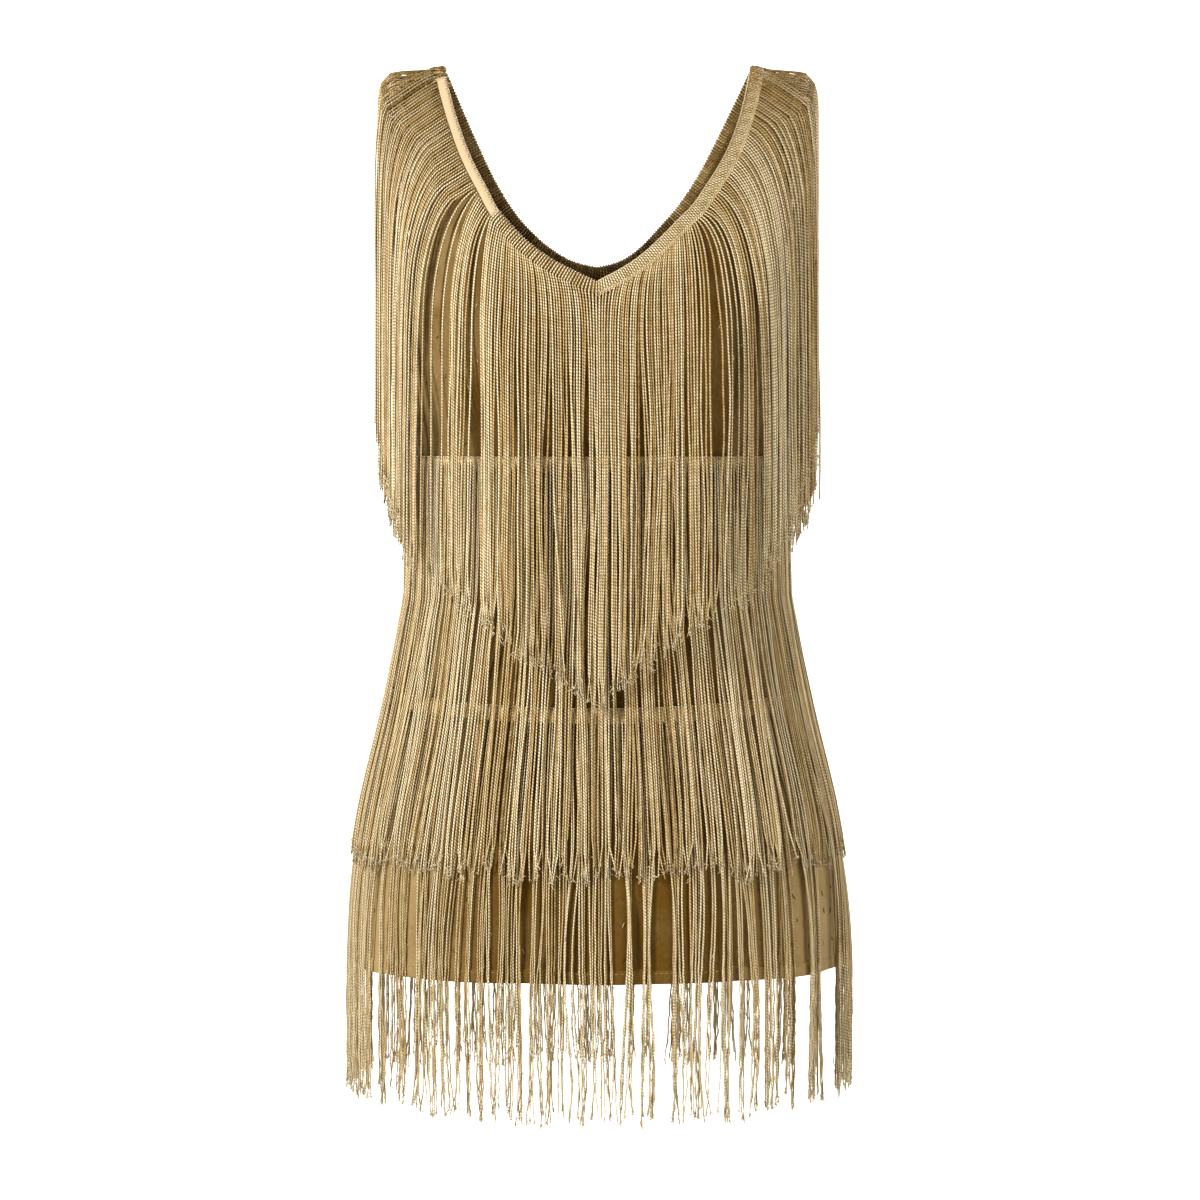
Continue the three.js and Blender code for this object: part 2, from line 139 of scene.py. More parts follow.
class Smooth:
    """A smooth curve through a table whose first column rises."""

    def __init__(self, rows: Sequence[tuple], at: str, value: str) -> None:
        """Works out the slope at each row.

        Args:
            rows: the table.
            at: the column that the curve runs along, rising.
            value: the column that it gives.
        """
        self.at = np.array([getattr(row, at) for row in rows], float)
        self.value = np.array([getattr(row, value) for row in rows], float)
        count = len(self.at)
        before = np.maximum(np.arange(count) - 1, 0)
        after = np.minimum(np.arange(count) + 1, count - 1)
        self.slope = (self.value[after] - self.value[before]) / (self.at[after] - self.at[before])

    def __call__(self, wanted: Array) -> Array:
        """The curve's value at each place."""
        at = np.clip(wanted, self.at[0], self.at[-1])
        i = np.clip(np.searchsorted(self.at, at) - 1, 0, len(self.at) - 2)
        run = self.at[i + 1] - self.at[i]
        t = (at - self.at[i]) / run
        rest = 1 - t
        ends = rest**2 * (1 + 2 * t) * self.value[i] + t**2 * (3 - 2 * t) * self.value[i + 1]
        return ends + t * rest * run * (rest * self.slope[i] - t * self.slope[i + 1])


class Edge:
    """A spline through an edge's points, read by its share of the length."""

    DIVISIONS = 200

    def __init__(self, places: Sequence[Place]) -> None:
        """Measures the spline.

        Args:
            places: the edge's points in order.
        """
        self.points = np.array(places, float)
        self.steps = np.linspace(0, 1, self.DIVISIONS + 1)
        line = self._raw(self.steps)
        lengths = np.hypot(*np.diff(line, axis=0).T)
        self.length = float(lengths.sum())
        self.gone = np.concatenate([[0], np.cumsum(lengths)]) / self.length

    def _raw(self, t: Array) -> Array:
        """The spline's points at its own parameter."""
        last = len(self.points) - 1
        at = np.clip(np.asarray(t, float), 0, 1) * last
        i = np.minimum(at.astype(int), last - 1)
        w = (at - i)[..., None]
        p0, p1 = self.points[np.maximum(i - 1, 0)], self.points[i]
        p2, p3 = self.points[np.minimum(i + 1, last)], self.points[np.minimum(i + 2, last)]
        v0, v1 = (p2 - p0) / 2, (p3 - p1) / 2
        cubed, squared = 2 * p1 - 2 * p2 + v0 + v1, -3 * p1 + 3 * p2 - 2 * v0 - v1
        return cubed * w**3 + squared * w**2 + v0 * w + p1

    def point(self, share: Array) -> Array:
        """The edge's points at shares of its length."""
        return self._raw(np.interp(share, self.gone, self.steps))

    def tangent(self, share: Array) -> Array:
        """The edge's directions at shares of its length."""
        t = np.interp(share, self.gone, self.steps)
        step = 1e-4
        ahead = self._raw(np.minimum(t + step, 1)) - self._raw(np.maximum(t - step, 0))
        return ahead / np.linalg.norm(ahead, axis=-1, keepdims=True)


@dataclass(frozen=True)
class Panel:
    """One panel of the dress: the finished neck edge, and the armhole as angle and height."""

    side: Side
    neck: Edge
    arm: Edge
    gains: tuple[Gain, ...] = (Gain(0, 0, 0), Gain(1, 0, 0))

    @property
    def facing(self) -> int:
        """The sign of y that the panel faces."""
        return self.side.value

    def gain(self, share: Array) -> Array:
        """How far the finished edge lies past the cut one, with shares below 0 on the left."""
        left, right = (Smooth(self.gains, "share", side) for side in ("left", "right"))
        return np.where(np.asarray(share) < 0, left(np.abs(share)), right(np.abs(share)))


FRONT = Panel(
    side=Side.FRONT,
    neck=Edge([
        Place(0, -170), Place(30, -153), Place(60, -128), Place(76, -114), Place(86, -99), Place(99, -73),
        Place(108, -46), Place(114, -19), Place(118, 0),
    ]),
    arm=Edge([
        Place(90, -205), Place(74, -192), Place(64, -170), Place(58.5, -140), Place(57, -105),
        Place(58.5, -70), Place(62, -35), Place(66.5, 0),
    ]),
    gains=(
        Gain(0, 0, 0), Gain(0.1, -1, 0), Gain(0.28, -3.5, 1.8), Gain(0.38, -1, 4), Gain(0.48, 3, 5.5),
        Gain(0.6, 3.6, 3.8), Gain(0.75, 3, 1.8), Gain(0.9, 1, 0.3), Gain(1, 0, 0),
    ),
)
BACK = Panel(
    side=Side.BACK,
    neck=Edge([
        Place(0, -146), Place(15, -143), Place(29, -137), Place(47, -124), Place(65, -105), Place(81, -80),
        Place(96, -49), Place(109, -20), Place(118, 0),
    ]),
    arm=Edge([
        Place(90, -205), Place(75, -192), Place(66, -170), Place(61, -140), Place(59.5, -105),
        Place(60, -70), Place(62.5, -35), Place(66.5, 0),
    ]),
    gains=(
        Gain(0, 0, 0), Gain(0.1, 0, 1), Gain(0.2, 0, 3), Gain(0.3, 0, 5.2), Gain(0.45, 0, 4.8),
        Gain(0.63, 0, 3), Gain(0.8, 0, 1.6), Gain(0.9, 0, 0.6), Gain(1, 0, 0),
    ),
)


@dataclass(frozen=True)
class Torso:
    """The form that the dress keeps when it is worn, in millimetres from the top of the shoulders."""

    HALVINGS = 24
    NECK_LENGTH = 200
    RIM = -0.05

    sections: tuple[Section, ...] = (
        Section(-689, 192, 121, 118),
        Section(-640, 190, 120, 120),
        Section(-600, 186, 117, 121),
        Section(-560, 179, 112, 116),
        Section(-485, 161, 103, 99),
        Section(-410, 146, 97, 86),
        Section(-375, 143, 96, 83),
        Section(-335, 143, 99, 84),
        Section(-300, 145, 104, 88),
        Section(-255, 151, 108, 94),
        Section(-205, 156, 109, 98),
        Section(-160, 160, 109, 98),
        Section(-105, 166, 109, 98),
        Section(0, 172, 109, 98),
    )
    underarm: float = -205
    heading: float = 11
    seam_gap: float = 0.2
    fullness: float = 0.035
    shoulder_power: float = 1.5
    shoulder_slope: float = 0.16
    strap_starts: float = -160
    bust_x: float = 84
    bust_z: float = -232
    bust_out: float = 24
    bust_wide: float = 42
    bust_above: float = 68
    bust_below: float = 38
    flutes: tuple[tuple[int, float, float], ...] = ((9, 0.011, 0.6), (13, 0.007, 2.1))
    flutes_start: float = -575
    tables: dict[str, Smooth] = field(default_factory=dict)

    def __post_init__(self) -> None:
        """Lays a smooth curve through each column of the sections."""
        for name in ("half", "front", "back"):
            self.tables[name] = Smooth(self.sections, "z", name)

    @property
    def hem(self) -> float:
        """The hem's height."""
        return self.sections[0].z

    def half_width(self, z: Array) -> Array:
        """Half of the dress's width at a height."""
        return self.tables["half"](z)

    def depth(self, panel: Panel, z: Array) -> Array:
        """A panel's depth from the side seams at a height."""
        return self.tables[panel.side.name.lower()](z)

    def bust(self, x: Array, z: Array) -> Array:
        """The fullness that the darts give in front of the section."""
        side = (np.abs(x) - self.bust_x) / self.bust_wide
        rise = (z - self.bust_z) / np.where(z > self.bust_z, self.bust_above, self.bust_below)
        return self.bust_out * np.exp(-side * side - rise * rise)

    def shoulder_share(self, z: Array) -> Array:
        """Share of the depth that is left where the chest and back lean in to the shoulder."""
        rise = np.clip((z - self.underarm) / -self.underarm, 0, 1)
        return np.sqrt(1 - rise**self.shoulder_power)

    def section_share(self, panel: Panel, angle: Array, z: Array) -> Array:
        """How far a section stands out at an angle from the panel's centre, against an ellipse."""
        round_dress = angle if panel.side is Side.FRONT else math.pi - angle
        flare = smoothstep(-z, -self.flutes_start, -self.hem)
        flutes = sum(share * np.sin(waves * round_dress + turn) for waves, share, turn in self.flutes)
        return 1 + self.fullness * np.sin(2 * angle) ** 2 + flare * flutes

    def plan(self, panel: Panel, angle: Array, z: Array) -> tuple[Array, Array]:
        """The cloth's outer face in plan.

        Args:
            panel: the panel.
            angle: angles from the panel's centre, in radians.
            z: heights.

        Returns:
            Distances across, and out from the plane of the side seams.
        """
        angle, z = np.broadcast_arrays(np.asarray(angle, float), np.asarray(z, float))
        share = self.section_share(panel, angle, z)
        x = self.half_width(z) * np.sin(angle) * share
        bust = self.bust(x, z) if panel.side is Side.FRONT else 0
        out = (self.depth(panel, z) * share + bust) * np.cos(angle) * self.shoulder_share(z)
        return x, out

    def angle_at(self, panel: Panel, x: Array, z: Array) -> Array:
        """The angles at which the sections are this far from the centre."""
        x, z = np.broadcast_arrays(np.asarray(x, float), np.asarray(z, float))
        low = np.zeros(x.shape)
        high = np.full(x.shape, math.pi / 2)
        for _ in range(self.HALVINGS):
            middle = (low + high) / 2
            short = self.plan(panel, middle, z)[0] < np.abs(x)
            low = np.where(short, middle, low)
            high = np.where(short, high, middle)
        return np.sign(x) * low

    def outward(self, panel: Panel, angle: Array, z: Array) -> tuple[Array, Array]:
        """The outward direction in plan, from the section's half width and depth."""
        depth = np.maximum(self.depth(panel, z) * self.shoulder_share(z), 1)
        across = np.sin(angle) / self.half_width(z)
        out = np.cos(angle) / depth
        size = np.hypot(across, out)
        return across / size, out / size

    def strap_drop(self, x: Array, z: Array) -> Array:
        """How far the strap falls from the neck towards the arm."""
        past = np.maximum(np.abs(x) - FRONT.neck.points[-1][0], 0)
        return self.shoulder_slope * past * smoothstep(z, self.strap_starts, 0)

    def cloth(self, panel: Panel, angle: Array, z: Array) -> Array:
        """Points of the cloth's outer face."""
        angle, z = np.broadcast_arrays(np.asarray(angle, float), np.asarray(z, float))
        x, out = self.plan(panel, angle, z)
        return np.stack([x, panel.facing * (out + self.seam_gap), z - self.strap_drop(x, z)], -1)

    def off(self, panel: Panel, angle: Array, z: Array) -> Array:
        """Directions straight off the cloth."""
        step = 0.5
        high = np.minimum(np.asarray(z, float) + step, self.RIM)
        up = self.cloth(panel, angle, high) - self.cloth(panel, angle, high - 2 * step)
        turn = step / 100
        along = self.cloth(panel, angle + turn, high) - self.cloth(panel, angle - turn, high)
        normal = np.cross(up, along) * panel.facing
        return normal / np.linalg.norm(normal, axis=-1, keepdims=True)

    def over(self, panel: Panel, angle: Array, z: Array, lift: Array) -> Array:
        """Points this far off the cloth."""
        lift = np.asarray(lift, float)
        return self.cloth(panel, angle, z) + self.off(panel, angle, z) * lift[..., None]

    def beside_neck(self, panel: Panel, share: Array, inset: Array) -> tuple[Array, Array]:
        """Places beside the neck edge.

        Args:
            panel: the panel.
            share: share of the way up the edge, below 0 on the left.
            inset: distance from the edge into the cloth.

        Returns:
            Distances from the centre, and heights.
        """
        at = np.minimum(np.abs(share), 1)
        inset = inset - panel.gain(share)
        point, tangent = panel.neck.point(at), panel.neck.tangent(at)
        near_centre = np.maximum(1 - at * self.NECK_LENGTH / self.heading, 0)
        x = point[..., 0] + tangent[..., 1] * inset * (1 - near_centre)
        at_seam = 1 - smoothstep(at, 0.88, 1)
        z = point[..., 1] - lerp(tangent[..., 0] * inset * at_seam, inset / tangent[..., 0], near_centre)
        return signs(share) * np.maximum(x, 0), np.minimum(z, 0)

    def out_at(self, panel: Panel, x: Array, z: Array) -> tuple[Array, tuple[Array, Array]]:
        """How far out the cloth is at places of the front or back view, and its outward directions."""
        reach = np.minimum(np.abs(x), self.half_width(z) * 0.99)
        angle = self.angle_at(panel, np.sign(x) * reach, z)
        return self.plan(panel, angle, z)[1], self.outward(panel, angle, z)


TORSO = Torso()


class Value:
    """A shader socket that takes part in Python arithmetic."""

    def __init__(self, shader: "Shader", socket: bpy.types.NodeSocket) -> None:
        """Holds a socket of a shader."""
        self.shader = shader
        self.socket = socket

    def math(self, operation: str, *others: "Value | float", first: bool = True) -> "Value":
        """Puts the socket through a Math node.

        Args:
            operation: the node's operation.
            others: what its other sockets take.
            first: whether this socket comes first.

        Returns:
            The result.
        """
        values = [self, *others] if first else [*others, self]
        made = self.shader.node("ShaderNodeMath", dict(enumerate(values)), operation=operation)
        return Value(self.shader, made.outputs[0])

    def __add__(self, other: "Value | float") -> "Value":
        """Adds."""
        return self.math("ADD", other)

    __radd__ = __add__

    def __mul__(self, other: "Value | float") -> "Value":
        """Multiplies."""
        return self.math("MULTIPLY", other)

    __rmul__ = __mul__

    def __sub__(self, other: "Value | float") -> "Value":
        """Takes the other away."""
        return self.math("SUBTRACT", other)

    def __rsub__(self, other: "Value | float") -> "Value":
        """Takes this away from the other."""
        return self.math("SUBTRACT", other, first=False)

    def wave(self) -> "Value":
        """The sine, brought between 0 and 1."""
        return self.math("SINE") * 0.5 + 0.5

    def within(self, low: float, high: float) -> "Value":
        """Maps low to 0 and high to 1, and clamps."""
        sockets = {"Value": self, "From Min": low, "From Max": high}
        made = self.shader.node("ShaderNodeMapRange", sockets, interpolation_type="SMOOTHSTEP")
        return Value(self.shader, made.outputs[0])


class Shader:
    """A material's node tree, built up by short calls."""

    MIX_SOCKETS = (0, 6, 7)
    MIX_RESULT = 2

    def __init__(self, name: str, constants: dict[str, float | Colour]) -> None:
        """Starts a material.

        Args:
            name: the material's name.
            constants: sockets of the main shader that stay the same all over.
        """
        self.material = bpy.data.materials.new(name)
        self.material.use_nodes = True
        self.tree = self.material.node_tree
        self.main = self.tree.nodes["Principled BSDF"]
        for socket, value in constants.items():
            self.put(self.main.inputs[socket], value)

    def put(self, socket: bpy.types.NodeSocket, value: object) -> None:
        """Links or sets one socket."""
        if isinstance(value, Value):
            self.tree.links.new(value.socket, socket)
        elif isinstance(value, tuple) and len(value) == 3 and socket.type == "RGBA":
            socket.default_value = (*value, 1)
        else:
            socket.default_value = value

    def node(self, kind: str, sockets: dict | None = None, **settings: object) -> bpy.types.Node:
        """Adds a node.

        Args:
            kind: the node's type.
            sockets: what its inputs take, by name or number.
            settings: its own settings, set first.

        Returns:
            The node.
        """
        made = self.tree.nodes.new(kind)
        for name, value in settings.items():
            setattr(made, name, value)
        for key, value in (sockets or {}).items():
            self.put(made.inputs[key], value)
        return made

    def out(self, kind: str, output: int | str, sockets: dict | None = None, **settings: object) -> Value:
        """Adds a node and gives one of its outputs."""
        return Value(self, self.node(kind, sockets, **settings).outputs[output])

    def mix(self, share: Value | float, a: Value | Colour, b: Value | Colour) -> Value:
        """Mixes two colours."""
        sockets = dict(zip(self.MIX_SOCKETS, (share, a, b)))
        return self.out("ShaderNodeMix", self.MIX_RESULT, sockets, data_type="RGBA")

    def noise(self, where: Value, scale: float, detail: float = 2) -> Value:
        """Soft noise, from 0 to 1."""
        return self.out("ShaderNodeTexNoise", 0, {"Vector": where, "Scale": scale, "Detail": detail})

    def attribute(self, name: str) -> Value:
        """A number stored on the mesh."""
        return self.out("ShaderNodeAttribute", "Fac", attribute_name=name)

    def object_place(self) -> Value:
        """The place in the piece's own frame, in metres."""
        return self.out("ShaderNodeTexCoord", "Object")

    def split(self, vector: Value) -> tuple[Value, ...]:
        """A vector's X, Y and Z."""
        made = self.node("ShaderNodeSeparateXYZ", {"Vector": vector})
        return tuple(Value(self, output) for output in made.outputs)

    def along_and_across(self) -> tuple[Value, Value, Value]:
        """The piece's UV map: the whole vector, its U and its V."""
        where = self.out("ShaderNodeTexCoord", "UV")
        along, across, _ = self.split(where)
        return where, along, across

    def bump(self, height: Value, distance: float, strength: float = 1) -> None:
        """Feeds the main shader's normal from a height in metres of distance."""
        sockets = {"Height": height, "Distance": distance, "Strength": strength}
        self.put(self.main.inputs["Normal"], self.out("ShaderNodeBump", "Normal", sockets))

    def finish(self, colour: Value, roughness: Value | float) -> bpy.types.Material:
        """Feeds colour and roughness, and gives the material."""
        self.put(self.main.inputs["Base Color"], colour)
        self.put(self.main.inputs["Roughness"], roughness)
        return self.material


@dataclass(frozen=True)
class YarnFinish:
    """Twisted rayon thread: small beads of light, with painted shade in the twist's grooves and at its sides,
    where neighbours crowd it.
    """

    name: str = "twisted_thread"
    deep: Colour = (0.12, 0.062, 0.008)
    middle: Colour = (0.66, 0.495, 0.25)
    light: Colour = (1.0, 0.9, 0.64)
    by_tone: float = 0.9
    by_noise: float = 0.5
    darker: float = 0.18
    noise_scale: float = 160
    groove_shade: float = 0.74
    side_shade: float = 0.9
    bare_from: float = 0.1
    bare_at: float = 0.95
    relief: float = 0.4
    specular: float = 0.18
    gloss_tint: Colour = (1.0, 0.82, 0.5)
    roughness: float = 0.3
    groove_roughness: float = 0.3

    def material(self) -> bpy.types.Material:
        """Builds the material: U counts the beads down a thread, V runs once round it."""
        shader = Shader(self.name, {"Specular IOR Level": self.specular, "Specular Tint": self.gloss_tint})
        _, beads, turn = shader.along_and_across()
        twist = ((beads + turn) * TURN).wave()
        tone = shader.attribute("tone")
        uneven = shader.noise(shader.object_place(), self.noise_scale, 3)
        shade = (tone * self.by_tone + uneven * self.by_noise - self.darker).within(0, 1)
        base = shader.mix(shade.within(0, 0.5), self.deep, self.middle)
        base = shader.mix(shade.within(0.5, 1), base, self.light)
        # Painted shade in the twist's grooves, between the beads of light.
        colour = shader.mix((1 - twist) * self.groove_shade, base, self.deep)
        # Painted shade at the thread's sides, where neighbouring threads crowd it; none where it faces out or
        # in.
        covered = 1 - shader.attribute("bare").within(self.bare_from, self.bare_at)
        colour = shader.mix(covered * self.side_shade, colour, self.deep)
        shader.bump(twist, self.relief * MM)
        return shader.finish(colour, self.roughness + (1 - twist) * self.groove_roughness)


@dataclass(frozen=True)
class KnitFinish:
    """Satin stretch knit, smooth and slightly streaked."""

    name: str
    dark: Colour = (0.085, 0.042, 0.004)
    light: Colour = (0.36, 0.262, 0.122)
    by_cloud: float = 0.6
    by_streak: float = 0.3
    by_knit: float = 0.15
    by_side_sheen: float = 0.6
    darker: float = 0.42
    cloud_scale: float = 0.022
    streak_scale: float = 0.35
    rib_pitch: float = 1.1
    course_pitch: float = 0.8
    sheen_from: float = 0.065
    sheen_at: float = 0.18
    relief: float = 0.12
    specular: float = 0.12
    gloss_tint: Colour = (1.0, 0.82, 0.5)
    roughness: float = 0.46
    streak_roughness: float = 0.12

    def material(self) -> bpy.types.Material:
        """Builds the material: U and V are millimetres across and up the cloth.

        The satin is painted paler round the sides of the body, a painted sheen where its face turns away, and
        stays darker at the centre.
        """
        shader = Shader(self.name, {"Specular IOR Level": self.specular, "Specular Tint": self.gloss_tint})
        # Painted sheen: the colour pales round the sides of the body and stays darker at the centre.
        from_centre = shader.split(shader.object_place())[0].math("ABSOLUTE")
        aside = from_centre.within(self.sheen_from, self.sheen_at)
        where, across, up = shader.along_and_across()
        wales = (across * (TURN / self.rib_pitch)).wave()
        courses = (up * (TURN / (self.course_pitch * self.rib_pitch)) + across * 0.9).wave()
        knit = wales * 0.65 + courses * 0.35
        cloudy = shader.noise(where, self.cloud_scale, 3)
        streaks = shader.noise(where, self.streak_scale, 4)
        shade = cloudy * self.by_cloud + streaks * self.by_streak + knit * self.by_knit
        shade = (shade + aside * self.by_side_sheen - self.darker).within(0, 1)
        colour = shader.mix(shade, self.dark, self.light)
        shader.bump(knit * 0.7 + streaks * 0.6, self.relief * MM, 0.8)
        return shader.finish(colour, self.roughness + streaks * self.streak_roughness)


@dataclass(frozen=True)
class BandFinish:
    """A woven or ribbed tape with fine ridges across it."""

    name: str
    dark: Colour = (0.17, 0.10, 0.03)
    light: Colour = (0.50, 0.37, 0.18)
    pitch: float = 2.0
    depth: float = 0.5
    ridged: float = 0.5
    contrast: float = 1.05
    fuzz_scale: float = 0.8
    specular: float = 0.3
    gloss_tint: Colour = (1.0, 0.84, 0.55)
    roughness: float = 0.42
    fuzz_roughness: float = 0.2

    def material(self) -> bpy.types.Material:
        """Builds the material: U and V are millimetres along and across the tape."""
        shader = Shader(self.name, {"Specular IOR Level": self.specular, "Specular Tint": self.gloss_tint})
        where, along, across = shader.along_and_across()
        rungs = (along * (TURN / self.pitch) + across * 0.5).wave()
        fuzz = shader.noise(where, self.fuzz_scale, 4)
        shade = (rungs * self.ridged + fuzz * (self.contrast - self.ridged)).within(0.1, 0.9)
        colour = shader.mix(shade, self.dark, self.light)
        shader.bump(rungs + fuzz * 0.6, self.depth * MM, 0.8)
        return shader.finish(colour, self.roughness + fuzz * self.fuzz_roughness)


def new_object(name: str, mesh: bpy.types.Mesh, material: bpy.types.Material) -> bpy.types.Object:
    """Puts a mesh into the scene with its material."""
    mesh.materials.append(material)
    made = bpy.data.objects.new(name, mesh)
    bpy.context.scene.collection.objects.link(made)
    return made


def grid_piece(
    columns: int,
    rows: int,
    place: Callable[[Array, Array], Array],
    scale: tuple[float, float],
    starts: float = 0,
) -> bmesh.types.BMesh:
    """Lays a grid on a form.

    Args:
        columns: faces along the grid.
        rows: faces up the grid.
        place: gives points in mm from shares along and up.
        scale: length and height of the UV map, in mm.
        starts: where the UV map starts along the grid, in mm.

    Returns:
        The laid grid.
    """
    bm = bmesh.new()
    bmesh.ops.create_grid(bm, x_segments=columns, y_segments=rows, size=1)
    shares = np.array([v.co[:2] for v in bm.verts]) / 2 + 0.5
    points = place(shares[:, 0], shares[:, 1]) * MM
    uv = bm.loops.layers.uv.new("uv")
    for face in bm.faces:
        for loop in face.loops:
            loop[uv].uv = shares[loop.vert.index] * scale + (starts, 0)
    for vert, point in zip(bm.verts, points):
        vert.co = point
    return bm


def tube_piece(columns: int, section: Array, place: Laying, length: float) -> bmesh.types.BMesh:
    """Lays a closed section along a form, and closes its ends.

    Args:
        columns: faces along the tube.
        section: the section's corners as (rise, lift).
        place: gives points in mm from shares along, and the rise and lift there.
        length: length of the UV map, in mm.

    Returns:
        The laid tube.
    """

    def lay(along: Array, around: Array) -> Array:
        corner = section[np.round(around * len(section)).astype(int) % len(section)]
        return place(along, corner[:, 0], corner[:, 1])

    bm = grid_piece(columns, len(section), lay, (length, TUBE_ROUND))
    bmesh.ops.remove_doubles(bm, verts=bm.verts, dist=TUBE_WELD)
    rims = [edge for edge in bm.edges if edge.is_boundary]
    bmesh.ops.holes_fill(bm, edges=rims, sides=0)
    bmesh.ops.recalc_face_normals(bm, faces=bm.faces)
    return bm


def joined(name: str, parts: Sequence[bmesh.types.BMesh], material: bpy.types.Material) -> bpy.types.Object:
    """Joins grids into one smooth object.

    Args:
        name: the object's name.
        parts: the grids, which are freed.
        material: its finish.

    Returns:
        The object.
    """
    whole = bmesh.new()
    for part in parts:
        mesh = bpy.data.meshes.new(name)
        part.to_mesh(mesh)
        part.free()
        whole.from_mesh(mesh)
        bpy.data.meshes.remove(mesh)
    bmesh.ops.remove_doubles(whole, verts=whole.verts, dist=SEAM_WELD)
    for face in whole.faces:
        face.smooth = True
    mesh = bpy.data.meshes.new(name)
    whole.to_mesh(mesh)
    whole.free()
    return new_object(name, mesh, material)


def dress_piece(piece: bpy.types.Object, slot: str, *nodes: str) -> bpy.types.Object:
    """Lets a piece ride on the dress and stand for its nodes.

    Args:
        piece: the finished piece.
        slot: the record's material slot; not used.
        nodes: the solids that it stands for.

    Returns:
        The piece.
    """
    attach(piece, BODY)
    if nodes:
        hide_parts(*nodes)
    log.info("%s: %d faces", piece.name, len(piece.data.polygons))
    return piece


class Threads:
    """Many thin tubes in one mesh, with a UV map that counts beads, and two numbers at each point.

    They are the tube's tone, and how unshaded the point lies, which sets a painted shade: 0 at the sides,
    where neighbours crowd it, and 1 where it faces straight away from the dress or into it, and all over a
    fine filament.
    """

    AWAY = (1, 1.4, 0)
    FILAMENT = 3
    FIRST_ACROSS = (0.31, 0.95, 0.05)
    STAGGER = 0.37
    TINY = 1e-9

    def __init__(self, bead: float) -> None:
        """Starts an empty set.

        Args:
            bead: length of one bead of the twist, in mm.
        """
        self.bead = bead
        self.points: list[Array] = []
        self.tones: list[Array] = []
        self.bare: list[Array] = []
        self.faces: list[list[int]] = []
        self.uvs: list[Array] = []
        self.count = 0

    def rings(self, lines: Array, radius: Array, sides: int) -> tuple[Array, Array]:
        """Lays a ring of points round each point of the lines.

        Args:
            lines: centre lines in mm, as (tubes, points, 3).
            radius: radii in mm, as (tubes, points).
            sides: sides of a tube.

        Returns:
            The rings as (tubes, points, sides, 3), and how unshaded each of their points lies, for the
            painted shade at the sides.
        """
        number, steps = lines.shape[:2]
        ahead = np.gradient(lines, axis=1)
        ahead /= np.maximum(np.linalg.norm(ahead, axis=2, keepdims=True), self.TINY)
        across = np.cross(ahead[:, 0], np.array(self.FIRST_ACROSS))
        across /= np.linalg.norm(across, axis=1, keepdims=True)
        turns = np.linspace(0, TURN, sides, endpoint=False)
        cos, sin = np.cos(turns)[None, :, None], np.sin(turns)[None, :, None]
        rings, bare = np.empty((number, steps, sides, 3)), np.ones((number, steps, sides))
        for k in range(steps):
            across = across - ahead[:, k] * (across * ahead[:, k]).sum(1, keepdims=True)
            across /= np.linalg.norm(across, axis=1, keepdims=True)
            other = np.cross(ahead[:, k], across)
            ring = cos * across[:, None] + sin * other[:, None]
            rings[:, k] = lines[:, k, None] + ring * radius[:, k, None, None]
            # How squarely each point faces away from the dress or into it: the yarn paints shade at the sides
            # between.
            if sides > self.FILAMENT:
                away = lines[:, k] * self.AWAY
                away /= np.maximum(np.linalg.norm(away, axis=1, keepdims=True), self.TINY)
                bare[:, k] = np.abs((ring * away[:, None]).sum(-1))
        return rings, bare

    def add(self, lines: Array, radius: Array, tone: Array, sides: int = 5) -> None:
        """Adds tubes with closed ends.

        Args:
            lines: centre lines in mm, as (tubes, points, 3).
            radius: radii in mm, as (tubes, points).
            tone: tone of each tube, from 0 to 1.
            sides: sides of a tube.
        """
        number, steps = lines.shape[:2]
        if number == 0:
            return
        rings, bare = self.rings(lines, radius, sides)
        each = steps * sides + 2
        points = np.concatenate([rings.reshape(number, -1, 3), lines[:, [0, -1]]], axis=1)
        k, s = np.meshgrid(np.arange(steps - 1), np.arange(sides), indexing="ij")
        near, far, after = k * sides, (k + 1) * sides, (s + 1) % sides
        quads = np.stack([near + s, near + after, far + after, far + s], -1).reshape(-1, 4)
        ring, last = np.arange(sides), (steps - 1) * sides
        first_cap = np.stack([np.roll(ring, -1), ring, np.full(sides, each - 2)], -1)
        last_cap = np.stack([last + ring, last + np.roll(ring, -1), np.full(sides, each - 1)], -1)
        base = self.count + np.arange(number)[:, None, None] * each
        for faces in (quads, np.concatenate([first_cap, last_cap])):
            self.faces.extend((base + faces).reshape(-1, faces.shape[1]).tolist())
        gone = np.linalg.norm(np.diff(lines, axis=1), axis=2).cumsum(axis=1)
        beads = np.concatenate([np.zeros((number, 1)), gone], axis=1) / self.bead
        beads += (np.arange(number) * self.STAGGER % 1)[:, None]
        low, high = beads[:, k.ravel()], beads[:, k.ravel() + 1]
        left, right = (np.broadcast_to(turn.ravel() / sides, low.shape) for turn in (s, s + 1))
        quad_uv = np.stack([low, left, low, right, high, right, high, left], -1).reshape(-1, 2)
        ends_uv = np.stack([beads[:, [0, -1]], np.zeros((number, 2))], -1)
        cap_uv = np.repeat(ends_uv.reshape(number, 2, 1, 2), 3 * sides, axis=2).reshape(-1, 2)
        self.uvs.extend([quad_uv, cap_uv])
        self.points.append(points.reshape(-1, 3))
        self.tones.append(np.repeat(tone, each))
        self.bare.append(np.concatenate([bare.reshape(number, -1), np.ones((number, 2))], axis=1).ravel())
        self.count += number * each

